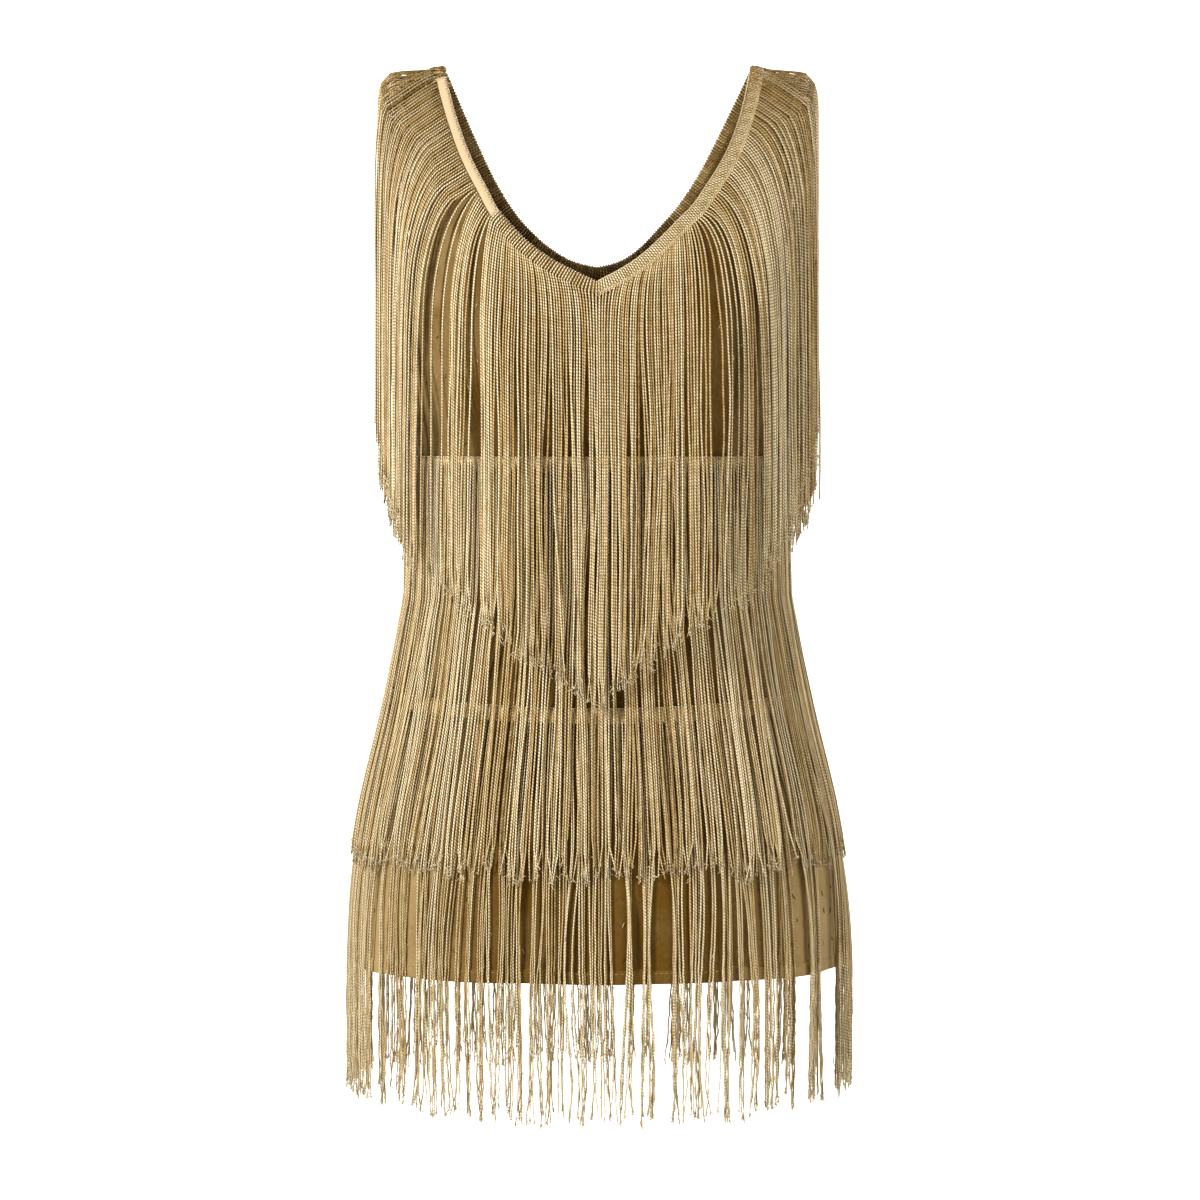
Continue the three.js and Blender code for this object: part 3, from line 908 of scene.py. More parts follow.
    def build(self, name: str, material: bpy.types.Material) -> bpy.types.Object:
        """Makes the mesh.

        Args:
            name: the object's name.
            material: its finish.

        Returns:
            The object.
        """
        mesh = bpy.data.meshes.new(name)
        mesh.from_pydata((np.concatenate(self.points) * MM).tolist(), [], self.faces)
        for word, values in (("tone", self.tones), ("bare", self.bare)):
            column = mesh.attributes.new(word, "FLOAT", "POINT")
            column.data.foreach_set("value", np.concatenate(values).astype(np.float32))
        layer = mesh.uv_layers.new(name="uv")
        layer.uv.foreach_set("vector", np.concatenate(self.uvs).astype(np.float32).ravel())
        mesh.shade_smooth()
        return new_object(name, mesh, material)


@dataclass
class ClothPanel:
    """One panel's shell of satin knit, with its turned hem, hem stitches and loose thread ends."""

    panel: Panel
    creases: tuple[Crease, ...]
    cloth: bpy.types.Material
    turned: bpy.types.Material
    thread: bpy.types.Material
    flat: tuple[float, float]
    area: float
    thickness: float = 1.4
    inside_neck: float = 6
    top_of_body: float = -292
    columns: int = 40
    rows: int = 116
    uv_size: tuple[float, float] = (280, 690)
    body_share: float = 0.5
    chest_share: float = 0.62
    crease_sway: float = 0.06
    hem_height: float = 9.5
    hem_columns: int = 150
    hem_length: float = 560
    stitch_apart: float = 4.2
    stitch_long: float = 2.9
    stitch_radius: float = 0.28
    ends_apart: float = 19
    ends_low: float = 22
    ends_high: float = -190
    ends_kept: float = 0.8
    seed: int = 5

    @property
    def word(self) -> str:
        """front or back."""
        return self.panel.side.name.lower()

    def patch(self, side: int, across: Array, up: Array) -> tuple[Array, Array]:
        """Angle and height of places on one half of the panel.

        Args:
            side: -1 for the left half, 1 for the right.
            across: share of the way from the centre or neck to the side or arm.
            up: share of the way from the hem to the shoulder.

        Returns:
            Angles from the centre in radians, and heights.
        """
        hem, top = TORSO.hem, self.top_of_body
        body = np.clip(up / self.body_share, 0, 1)
        chest = np.clip((up - self.body_share) / (self.chest_share - self.body_share), 0, 1)
        strap = np.clip((up - self.chest_share) / (1 - self.chest_share), 0, 1)
        neck_x, neck_z = TORSO.beside_neck(self.panel, side * strap, self.inside_neck)
        neck_z = np.where(strap >= 1, 0, neck_z)
        centre_top = TORSO.beside_neck(self.panel, np.zeros(1), self.inside_neck)[1][0]
        arm = self.panel.arm.point(strap)
        low = lerp(hem, top, body)
        inner_z = np.where(strap > 0, neck_z, np.where(chest > 0, lerp(top, centre_top, chest), low))
        outer_z = np.where(strap > 0, arm[:, 1], np.where(chest > 0, lerp(top, TORSO.underarm, chest), low))
        inner = np.where(strap > 0, TORSO.angle_at(self.panel, np.abs(neck_x), neck_z), 0)
        outer = np.where(strap > 0, np.radians(arm[:, 0]), math.pi / 2)
        return side * lerp(inner, outer, across), lerp(inner_z, outer_z, across)

    def crease_height(self, angle: Array, z: Array) -> Array:
        """How far the creases push the cloth out, below 0 where they sink in."""
        total = np.zeros(angle.shape)
        for crease in self.creases:
            right = (angle - math.radians(crease.angle)) * TORSO.half_width(z)
            up = z - crease.z
            lean = math.radians(crease.lean)
            along = up * math.cos(lean) + right * math.sin(lean)
            bend = self.crease_sway * crease.width * np.sin(along / crease.length * 5)
            across = right * math.cos(lean) - up * math.sin(lean) + bend
            fade = np.exp(-((along / (crease.length / 2)) ** 4))
            total += crease.depth * np.exp(-((across / crease.width) ** 2)) * fade
        return total

    def shell(self) -> bpy.types.Object:
        """Builds the panel's shell from two halves that share the centre below the neck."""
        halves = []
        for side in (-1, 1):

            def place(across: Array, up: Array, side: int = side) -> Array:
                angle, z = self.patch(side, across if side > 0 else 1 - across, up)
                return TORSO.over(self.panel, angle, z, self.crease_height(angle, z))

            starts = min(side, 0) * self.uv_size[0]
            halves.append(grid_piece(self.columns, self.rows, place, self.uv_size, starts))
        made = joined(f"{self.word}_cloth", halves, self.cloth)
        if self.panel.side is Side.BACK:
            made.data.flip_normals()
        wall = made.modifiers.new("wall", "SOLIDIFY")
        wall.thickness = self.thickness * MM
        wall.offset = -1
        wall.use_even_offset = True
        return made

    def hem_fold(self) -> bpy.types.Object:
        """Builds the turned hem, a flat tube that wraps the shell's lower edge."""
        outside, inside, height = 0.4, -(self.thickness + 1.1), self.hem_height
        profile = np.array([
            (height, outside * 0.3), (height - 0.8, outside), (height / 2, outside), (1.2, outside),
            (0.2, outside * 0.2), (-0.2, inside / 2), (0.2, inside * 0.9), (height / 2, inside),
            (height + 2, inside), (height + 2, -self.thickness * 0.8),
        ])

        def place(along: Array, rise: Array, lift: Array) -> Array:
            angle = lerp(-math.pi / 2, math.pi / 2, along)
            z = np.full(angle.shape, TORSO.hem + 3.0)
            base = TORSO.over(self.panel, angle, z, lift + self.crease_height(angle, z))
            base[:, 2] = TORSO.hem + rise
            return base

        tube = tube_piece(self.hem_columns, profile, place, self.hem_length)
        return joined(f"{self.word}_hem_fold", [tube], self.turned)

    def stitches(self) -> Threads:
        """Lays the row of hem stitches and the thread ends that show on the knit."""
        rng = np.random.default_rng(self.seed + self.panel.facing)
        threads = Threads(bead=1.0)
        self.sew_hem(threads, rng)
        self.leave_ends(threads, rng)
        return threads

    def sew_hem(self, threads: Threads, rng: np.random.Generator) -> None:
        """Adds the row of stitches that holds the hem."""
        reach = np.linspace(-math.pi / 2 + 0.01, math.pi / 2 - 0.01, SAMPLES)
        gone = distances(TORSO.cloth(self.panel, reach, np.full(SAMPLES, TORSO.hem)))
        starts = np.arange(1, gone[-1] - 3, self.stitch_apart)
        share = np.linspace(0, 1, 4)
        angle = np.interp(starts[:, None] + share * self.stitch_long, gone, reach)
        z = np.full(angle.shape, TORSO.hem + self.hem_height - 1.4)
        lift = 0.35 + 0.25 * np.sin(share * math.pi) + self.crease_height(angle, z)
        path = TORSO.over(self.panel, angle, z, lift)
        tone = rng.uniform(0.3, 0.6, len(starts))
        threads.add(path, np.full(angle.shape, self.stitch_radius), tone, sides=4)

    def leave_ends(self, threads: Threads, rng: np.random.Generator) -> None:
        """Adds the short thread ends that show all over the knit."""
        columns = np.arange(-1.45, 1.46, self.ends_apart / BODY_RADIUS)
        rows = np.arange(TORSO.hem + self.ends_low, self.ends_high, self.ends_apart)
        spots = np.array([(a, z) for z in rows for a in columns])
        spots += rng.normal(0, 1, spots.shape) * (0.018, 3.2)
        spots = spots[rng.random(len(spots)) < self.ends_kept]
        lean = rng.normal(0, 0.5, (len(spots), 1))
        half = rng.uniform(1.3, 2.4, (len(spots), 1)) * np.linspace(-1, 1, 4)
        angle = spots[:, :1] + half * np.sin(lean) / BODY_RADIUS
        z = spots[:, 1:] + half * np.cos(lean)
        lift = 0.12 + 0.4 * np.abs(half) / 1.7 + self.crease_height(angle, z)
        radius = np.broadcast_to(np.array([0.2, 0.4, 0.4, 0.2]), angle.shape)
        tone = rng.choice([0.0, 0.05, 1.0], len(spots))
        threads.add(TORSO.over(self.panel, angle, z, lift), radius, tone, sides=4)

    def build(self) -> list[bpy.types.Object]:
        """Returns:
            The pieces.
        """
        shell = dress_piece(self.shell(), "cloth", f"{self.word}_panel")
        fold = dress_piece(self.hem_fold(), "cloth")
        sewn = dress_piece(self.stitches().build(f"{self.word}_stitches", self.thread), "cloth")
        return [shell, fold, sewn]


@dataclass(frozen=True)
class Hang:
    """How a tier's threads draw together and move apart on their way down.

    Clumps, reaches and waves are in mm. Pulls and uneven lengths are shares.
    """

    clump_low: float = 5
    clump_high: float = 12
    pull_low: float = 0.1
    pull_high: float = 0.35
    wander: float = 1.2
    shiver: float = 0.45
    layers: float = 0.7
    rebels: float = 0.05
    rebel_reach: float = 5
    uneven: float = 0.02
    ragged: float = 0.012
    hook: float = 1.8
    frizz: int = 0
    crimp: float = 0
    fray: float = 4.5
    points: int = 34
    sides: int = 5


@dataclass
class Tier:
    """A fringe tier: a woven heading and the threads that hang from it.

    The pairs in capitals are shares of a thread's length between which a movement sets in, the
    lengths of a crimp in mm, and the least and most of a thread's radius.
    """

    DRAWN_IN = (0.02, 0.85)
    REBELLED = (0.1, 1)
    HOOKED = (0.93, 1.01)
    CRIMPED = (0.55, 0.75)
    LAYERED = (0, 0.12)
    TAPERED = (0.93, 1)
    CRIMPS = (15, 24)
    RADII = (0.92, 1.07)
    MOST_CLUMPS = 400
    FREE_FROM = 0.64
    FILAMENTS = 3
    LOOSE = 1.6

    name: str
    panel: Panel
    yarn: bpy.types.Material
    band: bpy.types.Material
    hang: Hang
    radius: float = 0.8
    pitch: float = 2.0
    length: float = 305
    heading: float = 11
    lift: float = 0.9
    band_thick: float = 1.5
    bead: float = 2.4
    seed: int = 1
    parted: tuple[tuple[float, float], ...] = ()
    part_from: float = -500
    part_full: float = -660
    step: float = 2.5

    def slab(self, thick: float) -> Array:
        """A plain band's section as (rise, lift), with soft edges."""
        low, high = self.lift, self.lift + thick
        corner, soft = 0.04, 0.2
        return np.array([
            (0, low + soft), (corner, high - soft), (0.15, high), (0.5, high), (0.85, high),
            (1 - corner, high - soft), (1, low + soft), (0.9, low), (0.1, low),
        ])

    def lengths(self, rng: np.random.Generator, root_at: Array, whole: float) -> Array:
        """Each thread's own length: neighbours end along ragged waves and single ones stop short.

        Args:
            rng: random numbers.
            root_at: each root's place along the heading, in mm.
            whole: the longest thread's length.

        Returns:
            The lengths.
        """
        ragged = np.zeros(root_at.shape)
        for apart in (5.3, 9.7, 21.0):
            ragged += rng.uniform(0.5, 1) * np.sin(root_at / apart + rng.uniform(0, TURN)) - 1
        single = np.minimum(np.abs(rng.normal(0, self.hang.uneven, len(root_at))), 0.12)
        return whole * (1 + ragged * self.hang.ragged / 2) * (1 - single)

    def hanging(
        self,
        start: tuple[Array, Array, Array],
        plan_at: Callable[[Array, Array, Array], tuple[Array, Array, Array, Array]],
        length: Array,
    ) -> tuple[Array, Array]:
        """Lets threads hang from where they start: each rests on what stands out furthest above it.

        Args:
            start: distances across and out, and heights.
            plan_at: gives across, out and the outward direction from length gone, height and across.
            length: each thread's length.

        Returns:
            Points as (threads, points, [x, out, z]), and outward directions as (threads, points, 2).
        """
        step = self.step
        x, out, z = (np.array(v, float) for v in start)
        gone = np.zeros(x.shape)
        _, _, off_x, off_out = plan_at(gone, z, x)
        track = [(gone, x, out, z, off_x, off_out)]
        while gone.min() < length.max():
            new_x, new_out, off_x, off_out = plan_at(gone + step, z - step, x)
            new_out = np.maximum(out, new_out)
            run = np.hypot(new_x - x, new_out - out)
            drop = np.maximum(np.sqrt(np.maximum(step**2 - run**2, 0)), 0.3 * step)
            z, gone = z - drop, gone + np.hypot(run, drop)
            x, out = new_x, new_out
            track.append((gone, x, out, z, off_x, off_out))
        table = np.array(track)
        shares = np.linspace(0, 1, self.hang.points) ** 1.15
        rows = []
        for i, whole in enumerate(length):
            wanted = shares * whole
            rows.append([np.interp(wanted, table[:, 0, i], table[:, c, i]) for c in range(1, 6)])
        found = np.array(rows).transpose(0, 2, 1)
        return found[..., :3], found[..., 3:]

    def part(self, x: Array, z: Array) -> Array:
        """Draws threads out of the gaps that are open below the hem, each to its nearer side.

        Args:
            x: distances across, as (threads, points).
            z: heights.

        Returns:
            The new distances across.
        """
        at_hem = np.abs(z - self.part_full).argmin(axis=1)
        hangs = x[np.arange(len(x)), at_hem]
        shift = np.zeros(len(x))
        for low, high in self.parted:
            middle, crowd = (low + high) / 2, 0.25
            edge = np.where(hangs < middle, low - (hangs - low) * crowd, high + (high - hangs) * crowd)
            shift = np.where((hangs > low) & (hangs < high), edge - hangs, shift)
        return x + shift[:, None] * smoothstep(-z, -self.part_from, -self.part_full)

    def astray(self, rng: np.random.Generator, root_at: Array, shares: Array) -> Array:
        """How far each thread strays sideways, into its clump and in waves and hooks of its own.

        Args:
            rng: the tier's random numbers.
            root_at: each root's place along the heading, in mm.
            shares: places down a thread.

        Returns:
            Distances in mm, as (threads, places).
        """
        hang, count = self.hang, len(root_at)
        edges = root_at.min() - 1 + np.cumsum(rng.uniform(hang.clump_low, hang.clump_high, self.MOST_CLUMPS))
        clump = np.searchsorted(edges, root_at)
        number = clump.max() + 1
        centre = np.array([root_at[clump == g].mean() if (clump == g).any() else 0 for g in range(number)])
        pull = rng.uniform(hang.pull_low, hang.pull_high, number)[clump]
        sway = self.waves(rng, number, shares, 2)[clump] * hang.wander
        shiver = self.waves(rng, count, shares, 5) * hang.shiver
        margin = 0.2 * np.ptp(root_at)
        inner = (root_at > root_at.min() + margin) & (root_at < root_at.max() - margin)
        rebel = np.where(inner & (rng.random(count) < hang.rebels), rng.normal(0, hang.rebel_reach, count), 0)
        drawn = (pull * (centre[clump] - root_at))[:, None] * smoothstep(shares, *self.DRAWN_IN)
        side = drawn + sway + shiver
        side += rebel[:, None] * smoothstep(shares, *self.REBELLED)
        side += rng.normal(0, hang.hook, (count, 1)) * smoothstep(shares, *self.HOOKED)
        waves = shares * self.length / rng.uniform(*self.CRIMPS, (count, 1)) + rng.random((count, 1))
        side += hang.crimp * np.sin(TURN * waves) * smoothstep(shares, *self.CRIMPED)
        return side

    def lay_threads(self, threads: Threads, root_at: Array, path: Array, off: Array, lift: Array) -> Array:
        """Clumps, wanders and layers the threads, and adds them.

        Args:
            threads: the set that takes them.
            root_at: each root's place along the heading, in mm.
            path: hanging points as (threads, points, [x, out, z]).
            off: outward directions in plan.
            lift: distance off the cloth's form at each point.

        Returns:
            The centre lines in mm.
        """
        rng = np.random.default_rng(self.seed)
        hang, count = self.hang, len(root_at)
        shares = np.linspace(0, 1, path.shape[1])
        side = self.astray(rng, root_at, shares)
        layer = rng.uniform(-1, 1, count)[:, None] * hang.layers * smoothstep(shares, *self.LAYERED)
        depth = lift + layer + self.waves(rng, count, shares, 3) * hang.shiver * 0.6
        facing = self.panel.facing
        x = path[..., 0] + off[..., 0] * depth + off[..., 1] * side
        x = self.part(x, path[..., 2])
        y = facing * (path[..., 1] + TORSO.seam_gap + off[..., 1] * depth) - facing * off[..., 0] * side
        lines = np.stack([x, y, path[..., 2]], -1)
        # Threads nearer the cloth, under their neighbours, get a lower tone, a painted shade, on top of a
        # random tone of their own.
        tone = np.clip(0.62 + 0.2 * layer[:, -1] / max(hang.layers, 0.1) + rng.normal(0, 0.1, count), 0, 1)
        taper = 1 - 0.3 * smoothstep(shares, *self.TAPERED)
        radius = self.radius * rng.uniform(*self.RADII, count)[:, None] * taper
        threads.add(lines, radius, tone, sides=hang.sides)
        self.fray(threads, lines, tone, rng)
        self.frizz(threads, lines, tone, rng)
        return lines

    def frizz(self, threads: Threads, lines: Array, tone: Array, rng: np.random.Generator) -> None:
        """Adds fine filaments that work loose along each thread's free third.

        Args:
            threads: the set that takes them.
            lines: the threads' centre lines.
            tone: their tones.
            rng: the tier's random numbers.
        """
        free = lines[:, int(self.FREE_FROM * lines.shape[1]) :]
        shares = np.linspace(0, 1, free.shape[1])
        for _ in range(self.hang.frizz):
            loose = np.zeros(free.shape)
            for axis in (0, 1):
                loose[..., axis] = self.waves(rng, len(free), shares, 7)
            radius = np.full(free.shape[:2], self.radius * 0.45)
            threads.add(free + loose * 1.1, radius, np.clip(tone + 0.35, 0, 1), sides=3)

    def fray(self, threads: Threads, lines: Array, tone: Array, rng: np.random.Generator) -> None:
        """Adds the loose filaments at each thread's end.

        Args:
            threads: the set that takes them.
            lines: the threads' centre lines.
            tone: their tones.
            rng: the tier's random numbers.
        """
        count, steps = len(lines), np.linspace(0, 1, 6)
        fine = self.radius * np.linspace(0.55, 0.25, len(steps))
        for _ in range(self.FILAMENTS):
            start = lerp(lines[:, -1], lines[:, -2], rng.uniform(0, 0.8, (count, 1)))
            reach = self.hang.fray * rng.uniform(0.6, 1.4, (count, 1))
            swing, hook = (rng.normal(0, self.LOOSE, (count, 2)) for _ in range(2))
            drop = -reach * steps * rng.uniform(0.45, 1, (count, 1))
            bent = hook[:, None, :] * np.sin(steps * 4)[:, None] * 0.5
            flat = swing[:, None, :] * steps[:, None] ** 1.4 + bent
            path = np.concatenate([flat, drop[..., None]], -1) + start[:, None]
            threads.add(path, np.broadcast_to(fine, drop.shape), np.clip(tone + 0.4, 0, 1), sides=3)

    def waves(self, rng: np.random.Generator, count: int, shares: Array, turns: float) -> Array:
        """Slow sideways waves that begin at the root.

        Args:
            rng: random numbers.
            count: how many lines.
            shares: places down a line.
            turns: the most half turns in a line.

        Returns:
            Waves of about 1 mm, as (count, places).
        """
        total = np.zeros((count, len(shares)))
        for k in range(2):
            rate = rng.uniform(0.5, turns, (count, 1)) * (k + 1)
            phase = rng.uniform(0, TURN, (count, 1))
            total += rng.normal(0, 1 / (k + 1), (count, 1)) * np.sin(rate * math.pi * shares + phase)
        return total * smoothstep(shares, 0.03, 0.55)

    def loops(self, threads: Threads, base: Array, up: Array, out: Array, tone: float) -> None:
        """Adds the small scalloped loops on a heading's top edge.

        Args:
            threads: the set that takes them.
            base: the loops' feet in mm, as (loops + 1, 3).
            up: the direction that they stand up in, for each foot.
            out: the outward direction, for each foot.
            tone: their tone.
        """
        overlap, height, roll, radius = 1.15, 1.3, 0.35, 0.5
        turn = np.linspace(0, math.pi, 6)
        first, second = base[:-1], base[1:]
        middle, half = (first + second) / 2, (second - first) / 2 * overlap
        lines = (
            middle[:, None]
            - half[:, None] * np.cos(turn)[None, :, None]
            + up[:-1, None] * (height * np.sin(turn))[None, :, None]
            + out[:-1, None] * (roll * np.sin(turn * 2))[None, :, None]
        )
        threads.add(lines, np.full(lines.shape[:2], radius), np.full(len(lines), tone), sides=4)

    def pieces(self, tape: bmesh.types.BMesh, threads: Threads) -> list[bpy.types.Object]:
        """Makes and dresses the heading and the threads.

        Args:
            tape: the heading's grid, which is freed.
            threads: the tier's threads.

        Returns:
            The two pieces.
        """
        heading = joined(f"{self.name}_heading", [tape], self.band)
        strands = threads.build(f"{self.name}_threads", self.yarn)
        return [dress_piece(heading, "fringe"), dress_piece(strands, "fringe", self.name)]


@dataclass
class RingTier(Tier):
    """A tier sewn straight round the dress."""

    top: float = -298
    dip: float = 1
    end_lift: float = 3.9
    root_below: float = 1.2
    reach: float = math.radians(89.4)
    columns: int = 170
    loops_apart: float = 2.1

    def top_at(self, angle: Array) -> Array:
        """Height of the heading's top edge."""
        return self.top - self.dip * np.cos(angle) ** 2

    def build(self) -> list[bpy.types.Object]:
        """Builds the heading and the threads.

        Returns:
            The pieces.
        """
        angles = np.linspace(-self.reach, self.reach, 600)
        gone = distances(TORSO.cloth(self.panel, angles, self.top_at(angles)))

        def place(along: Array, rise: Array, lift: Array) -> Array:
            angle = lerp(-self.reach, self.reach, along)
            return TORSO.over(self.panel, angle, self.top_at(angle) - self.heading * (1 - rise), lift)

        tape = tube_piece(self.columns, self.slab(self.band_thick), place, float(gone[-1]))
        threads = Threads(self.bead)
        feet = np.interp(np.arange(0, gone[-1], self.loops_apart), gone, angles)
        base = TORSO.over(self.panel, feet, self.top_at(feet) - 0.6, self.lift + 0.75)
        up = np.broadcast_to([0, 0, 1.0], base.shape)
        self.loops(threads, base, up, TORSO.off(self.panel, feet, self.top_at(feet)), 0.95)
        self.hang_threads(threads, gone, angles)
        return self.pieces(tape, threads)

    def hang_threads(self, threads: Threads, gone: Array, angles: Array) -> None:
        """Hangs the threads from under the heading.

        Args:
            threads: the set that takes them.
            gone: distance along the heading at each angle.
            angles: those angles.
        """
        rng = np.random.default_rng(self.seed + 100)
        root_at = np.arange(self.pitch / 2, gone[-1], self.pitch)
        root_at = root_at + rng.normal(0, self.pitch * 0.16, len(root_at))
        angle = np.interp(root_at, gone, angles)
        start_z = self.top_at(angle) - self.root_below
        x, out = TORSO.plan(self.panel, angle, start_z)

        def plan_at(_: Array, z: Array, was: Array) -> tuple[Array, Array, Array, Array]:
            height = np.maximum(z, TORSO.hem + 0.5)
            here, far = TORSO.plan(self.panel, angle, height)
            off_x, off_out = TORSO.outward(self.panel, angle, height)
            return np.sign(angle) * np.maximum(np.abs(here), np.abs(was)), far, off_x, off_out

        length = self.lengths(rng, root_at, self.length + self.heading - self.root_below)
        path, off = self.hanging((x, out, start_z), plan_at, length)
        shares = np.linspace(0, 1, path.shape[1])
        lift = lerp(self.lift, self.end_lift, np.minimum(shares * 2.2, 1)) + 1
        self.lay_threads(threads, root_at, path, off, np.broadcast_to(lift, path.shape[:2]))


class Stretch(NamedTuple):
    """A stretch of band along the neck edge, by its shares of the edge (below 0 on the left)."""

    name: str
    low: float
    high: float
    finish: bpy.types.Material
    thick: float = 0.8
    wide: float = 8.8
    ribbed: bool = False
    sewn: bool = False
    knotted: bool = False


@dataclass
class NeckTier(Tier):
    """The tier round the neck: its threads fan out from the edge, cross the bust and hang."""

    left_falls: tuple[Fall, ...] = ()
    right_falls: tuple[Fall, ...] = ()
    over_edge_to: float = 1.0
    over_edge_right: bool = True
    stretches: tuple[Stretch, ...] = ()
    fan: tuple[Fall, ...] = (
        Fall(0, 14), Fall(0.4, 20), Fall(0.5, 32), Fall(0.7, 34), Fall(0.85, 26), Fall(0.95, 16), Fall(1, 12),
    )
    slant: float = 0.84
    steep: float = 0.8
    far_lift: float = 6.8
    inside_shaded_tone: float = 0.62

    def band_place(self, stretch: Stretch) -> Laying:
        """Gives the function that lays a band beside the neck edge, from its share along, rise and lift."""

        def place(along: Array, rise: Array, lift: Array) -> Array:
            share = lerp(stretch.low, stretch.high, along)
            return self.over_band(share, stretch.wide * (1 - rise), lift)

        return place

    def build(self) -> list[bpy.types.Object]:
        """Builds the heading's stretches and the threads.

        Returns:
            The pieces.
        """
        pieces = []
        for stretch in self.stretches:
            run = self.panel.neck.length * (stretch.high - stretch.low)
            columns = max(int(run / 2.5), 8)
            grid = tube_piece(columns, self.slab(stretch.thick), self.band_place(stretch), run)
            band = joined(f"{self.name}_{stretch.name}", [grid], stretch.finish)
            pieces.append(dress_piece(band, "fringe"))
        threads = Threads(self.bead)
        self.hang_threads(threads)
        for stretch in self.stretches:
            if stretch.ribbed:
                self.rib(threads, stretch)
            if stretch.sewn:
                self.sew(threads, stretch)
            if stretch.knotted:
                self.knot(threads, stretch)
        strands = threads.build(f"{self.name}_threads", self.yarn)
        return [*pieces, dress_piece(strands, "fringe", self.name)]

    def over_band(self, share: Array, inset: Array, lift: Array) -> Array:
        """Points over the band at shares of the edge and insets from it."""
        x, z = TORSO.beside_neck(self.panel, share, inset)
        lift = lift + 0.9 * smoothstep(np.abs(share), 0.75, 0.95)
        return TORSO.over(self.panel, TORSO.angle_at(self.panel, x, z), z, lift)

    def rib(self, threads: Threads, stretch: Stretch) -> None:
        """Adds the fine ribs across a band, two cords along its lower edge and loops on its upper one.

        Args:
            threads: the set that takes them.
            stretch: the band.
        """
        run = self.panel.neck.length
        top = self.lift + stretch.thick
        rng = np.random.default_rng(self.seed + 13)
        share = np.arange(stretch.low + 0.8 / run, stretch.high - 0.5 / run, 1.8 / run)
        insets = np.array([1.6, 0.2, -0.6, 0.2, 1.8, 4.2, 6.4, 7.4])
        lifts = top + np.array([-2.2, -2.0, -0.8, 0.15, 0.3, 0.3, 0.2, -0.5])
        shape = (len(share), len(insets))
        ribs = self.over_band(np.broadcast_to(share[:, None], shape), insets, lifts)
        threads.add(ribs, np.full(shape, 0.72), np.clip(rng.normal(0.74, 0.05, len(share)), 0, 1))
        along = np.linspace(stretch.low, stretch.high, int((stretch.high - stretch.low) * run / 2))[None]
        for inset in (7.6, 8.9):
            cord = self.over_band(along, np.full(along.shape, inset), top - 0.1)
            threads.add(cord, np.full(along.shape, 0.55), np.array([0.7]))
        feet = np.arange(stretch.low, stretch.high, 2.2 / run)
        base = self.over_band(feet, np.full(feet.shape, 0.1), np.full(feet.shape, top - 0.2))
        up = self.over_band(feet, np.full(feet.shape, -1.0), np.full(feet.shape, top - 0.2)) - base
        up /= np.linalg.norm(up, axis=1, keepdims=True)
        self.loops(threads, base, up, np.zeros(base.shape), 0.8)

    def sew(self, threads: Threads, stretch: Stretch) -> None:
        """Adds the row of small stitches beside a tape's neck edge.

        Args:
            threads: the set that takes them.
            stretch: the tape.
        """
        apart, top = 2.1, self.lift + stretch.thick + 0.15
        run = self.panel.neck.length
        near, far = sorted((abs(stretch.low), abs(stretch.high)))
        side = -1 if stretch.low < 0 else 1
        share = side * np.arange(near + 2 / run, far - 2 / run, apart / run)
        steps = np.linspace(0, 1, 4)
        spots = share[:, None] + side * steps * 0.8 / run
        path = self.over_band(spots, 0.2 + 1.7 * steps, top + 0.35 * np.sin(steps * math.pi))
        rng = np.random.default_rng(self.seed + 9)
        tone = rng.uniform(0.85, 1, len(share))
        threads.add(path, np.full(spots.shape, 0.62), tone, sides=4)

    def knot(self, threads: Threads, stretch: Stretch) -> None:
        """Adds the threads that are gathered across a band's end at the shoulder.

        Args:
            threads: the set that takes them.
            stretch: the band.
        """
        rng = np.random.default_rng(self.seed + 11)
        side = -1 if stretch.low < 0 else 1
        ends = side * np.linspace(0.92, 0.998, 11)
        insets = np.array([12.5, 10.5, 7, 4, 0.8, -0.9, 0.6])
        shape = (len(ends), len(insets))
        lifts = self.lift + self.band_thick + np.array([-0.8, 0.6, 1.0, 1.1, 0.8, -0.6, -2.4])
        turns = self.over_band(
            ends[:, None] + rng.normal(0, 0.005, shape), insets, lifts + rng.normal(0, 0.25, shape) - 1.7
        )
        threads.add(turns, np.full(shape, self.radius * 1.15), rng.uniform(0.2, 0.75, len(ends)))

    def hang_threads(self, threads: Threads) -> None:
        """Hangs the threads, over the edge or from under the band.

        Args:
            threads: the set that takes them.
        """
        rng = np.random.default_rng(self.seed + 100)
        length = self.panel.neck.length
        root_at = np.arange(-length + 1.5, length - 1.5, self.pitch)
        root_at = root_at + rng.normal(0, self.pitch * 0.07, len(root_at))
        share = root_at / length
        covered = [(share >= s.low) & (share <= s.high) for s in self.stretches]
        below = np.select(covered, [s.wide for s in self.stretches], 8)
        x, z = TORSO.beside_neck(self.panel, share, below)
        left, right = (Smooth(falls, "share", "x") for falls in (self.left_falls, self.right_falls))
        up = np.abs(share)
        hangs = np.where(share < 0, -left(up), right(up))
        fan = Smooth(self.fan, "share", "x")(up)
        out, _ = TORSO.out_at(self.panel, x, z)
        most = lerp(self.slant, self.steep, smoothstep(up, 0.45, 1)) * self.step

        def plan_at(gone: Array, height: Array, was: Array) -> tuple[Array, Array, Array, Array]:
            wanted = hangs + (x - hangs) * np.exp(-gone / fan)
            here = was + np.clip(wanted - was, -most, most)
            far, (off_x, off_out) = TORSO.out_at(self.panel, here, np.maximum(height, TORSO.hem))
            return here, far, off_x, off_out

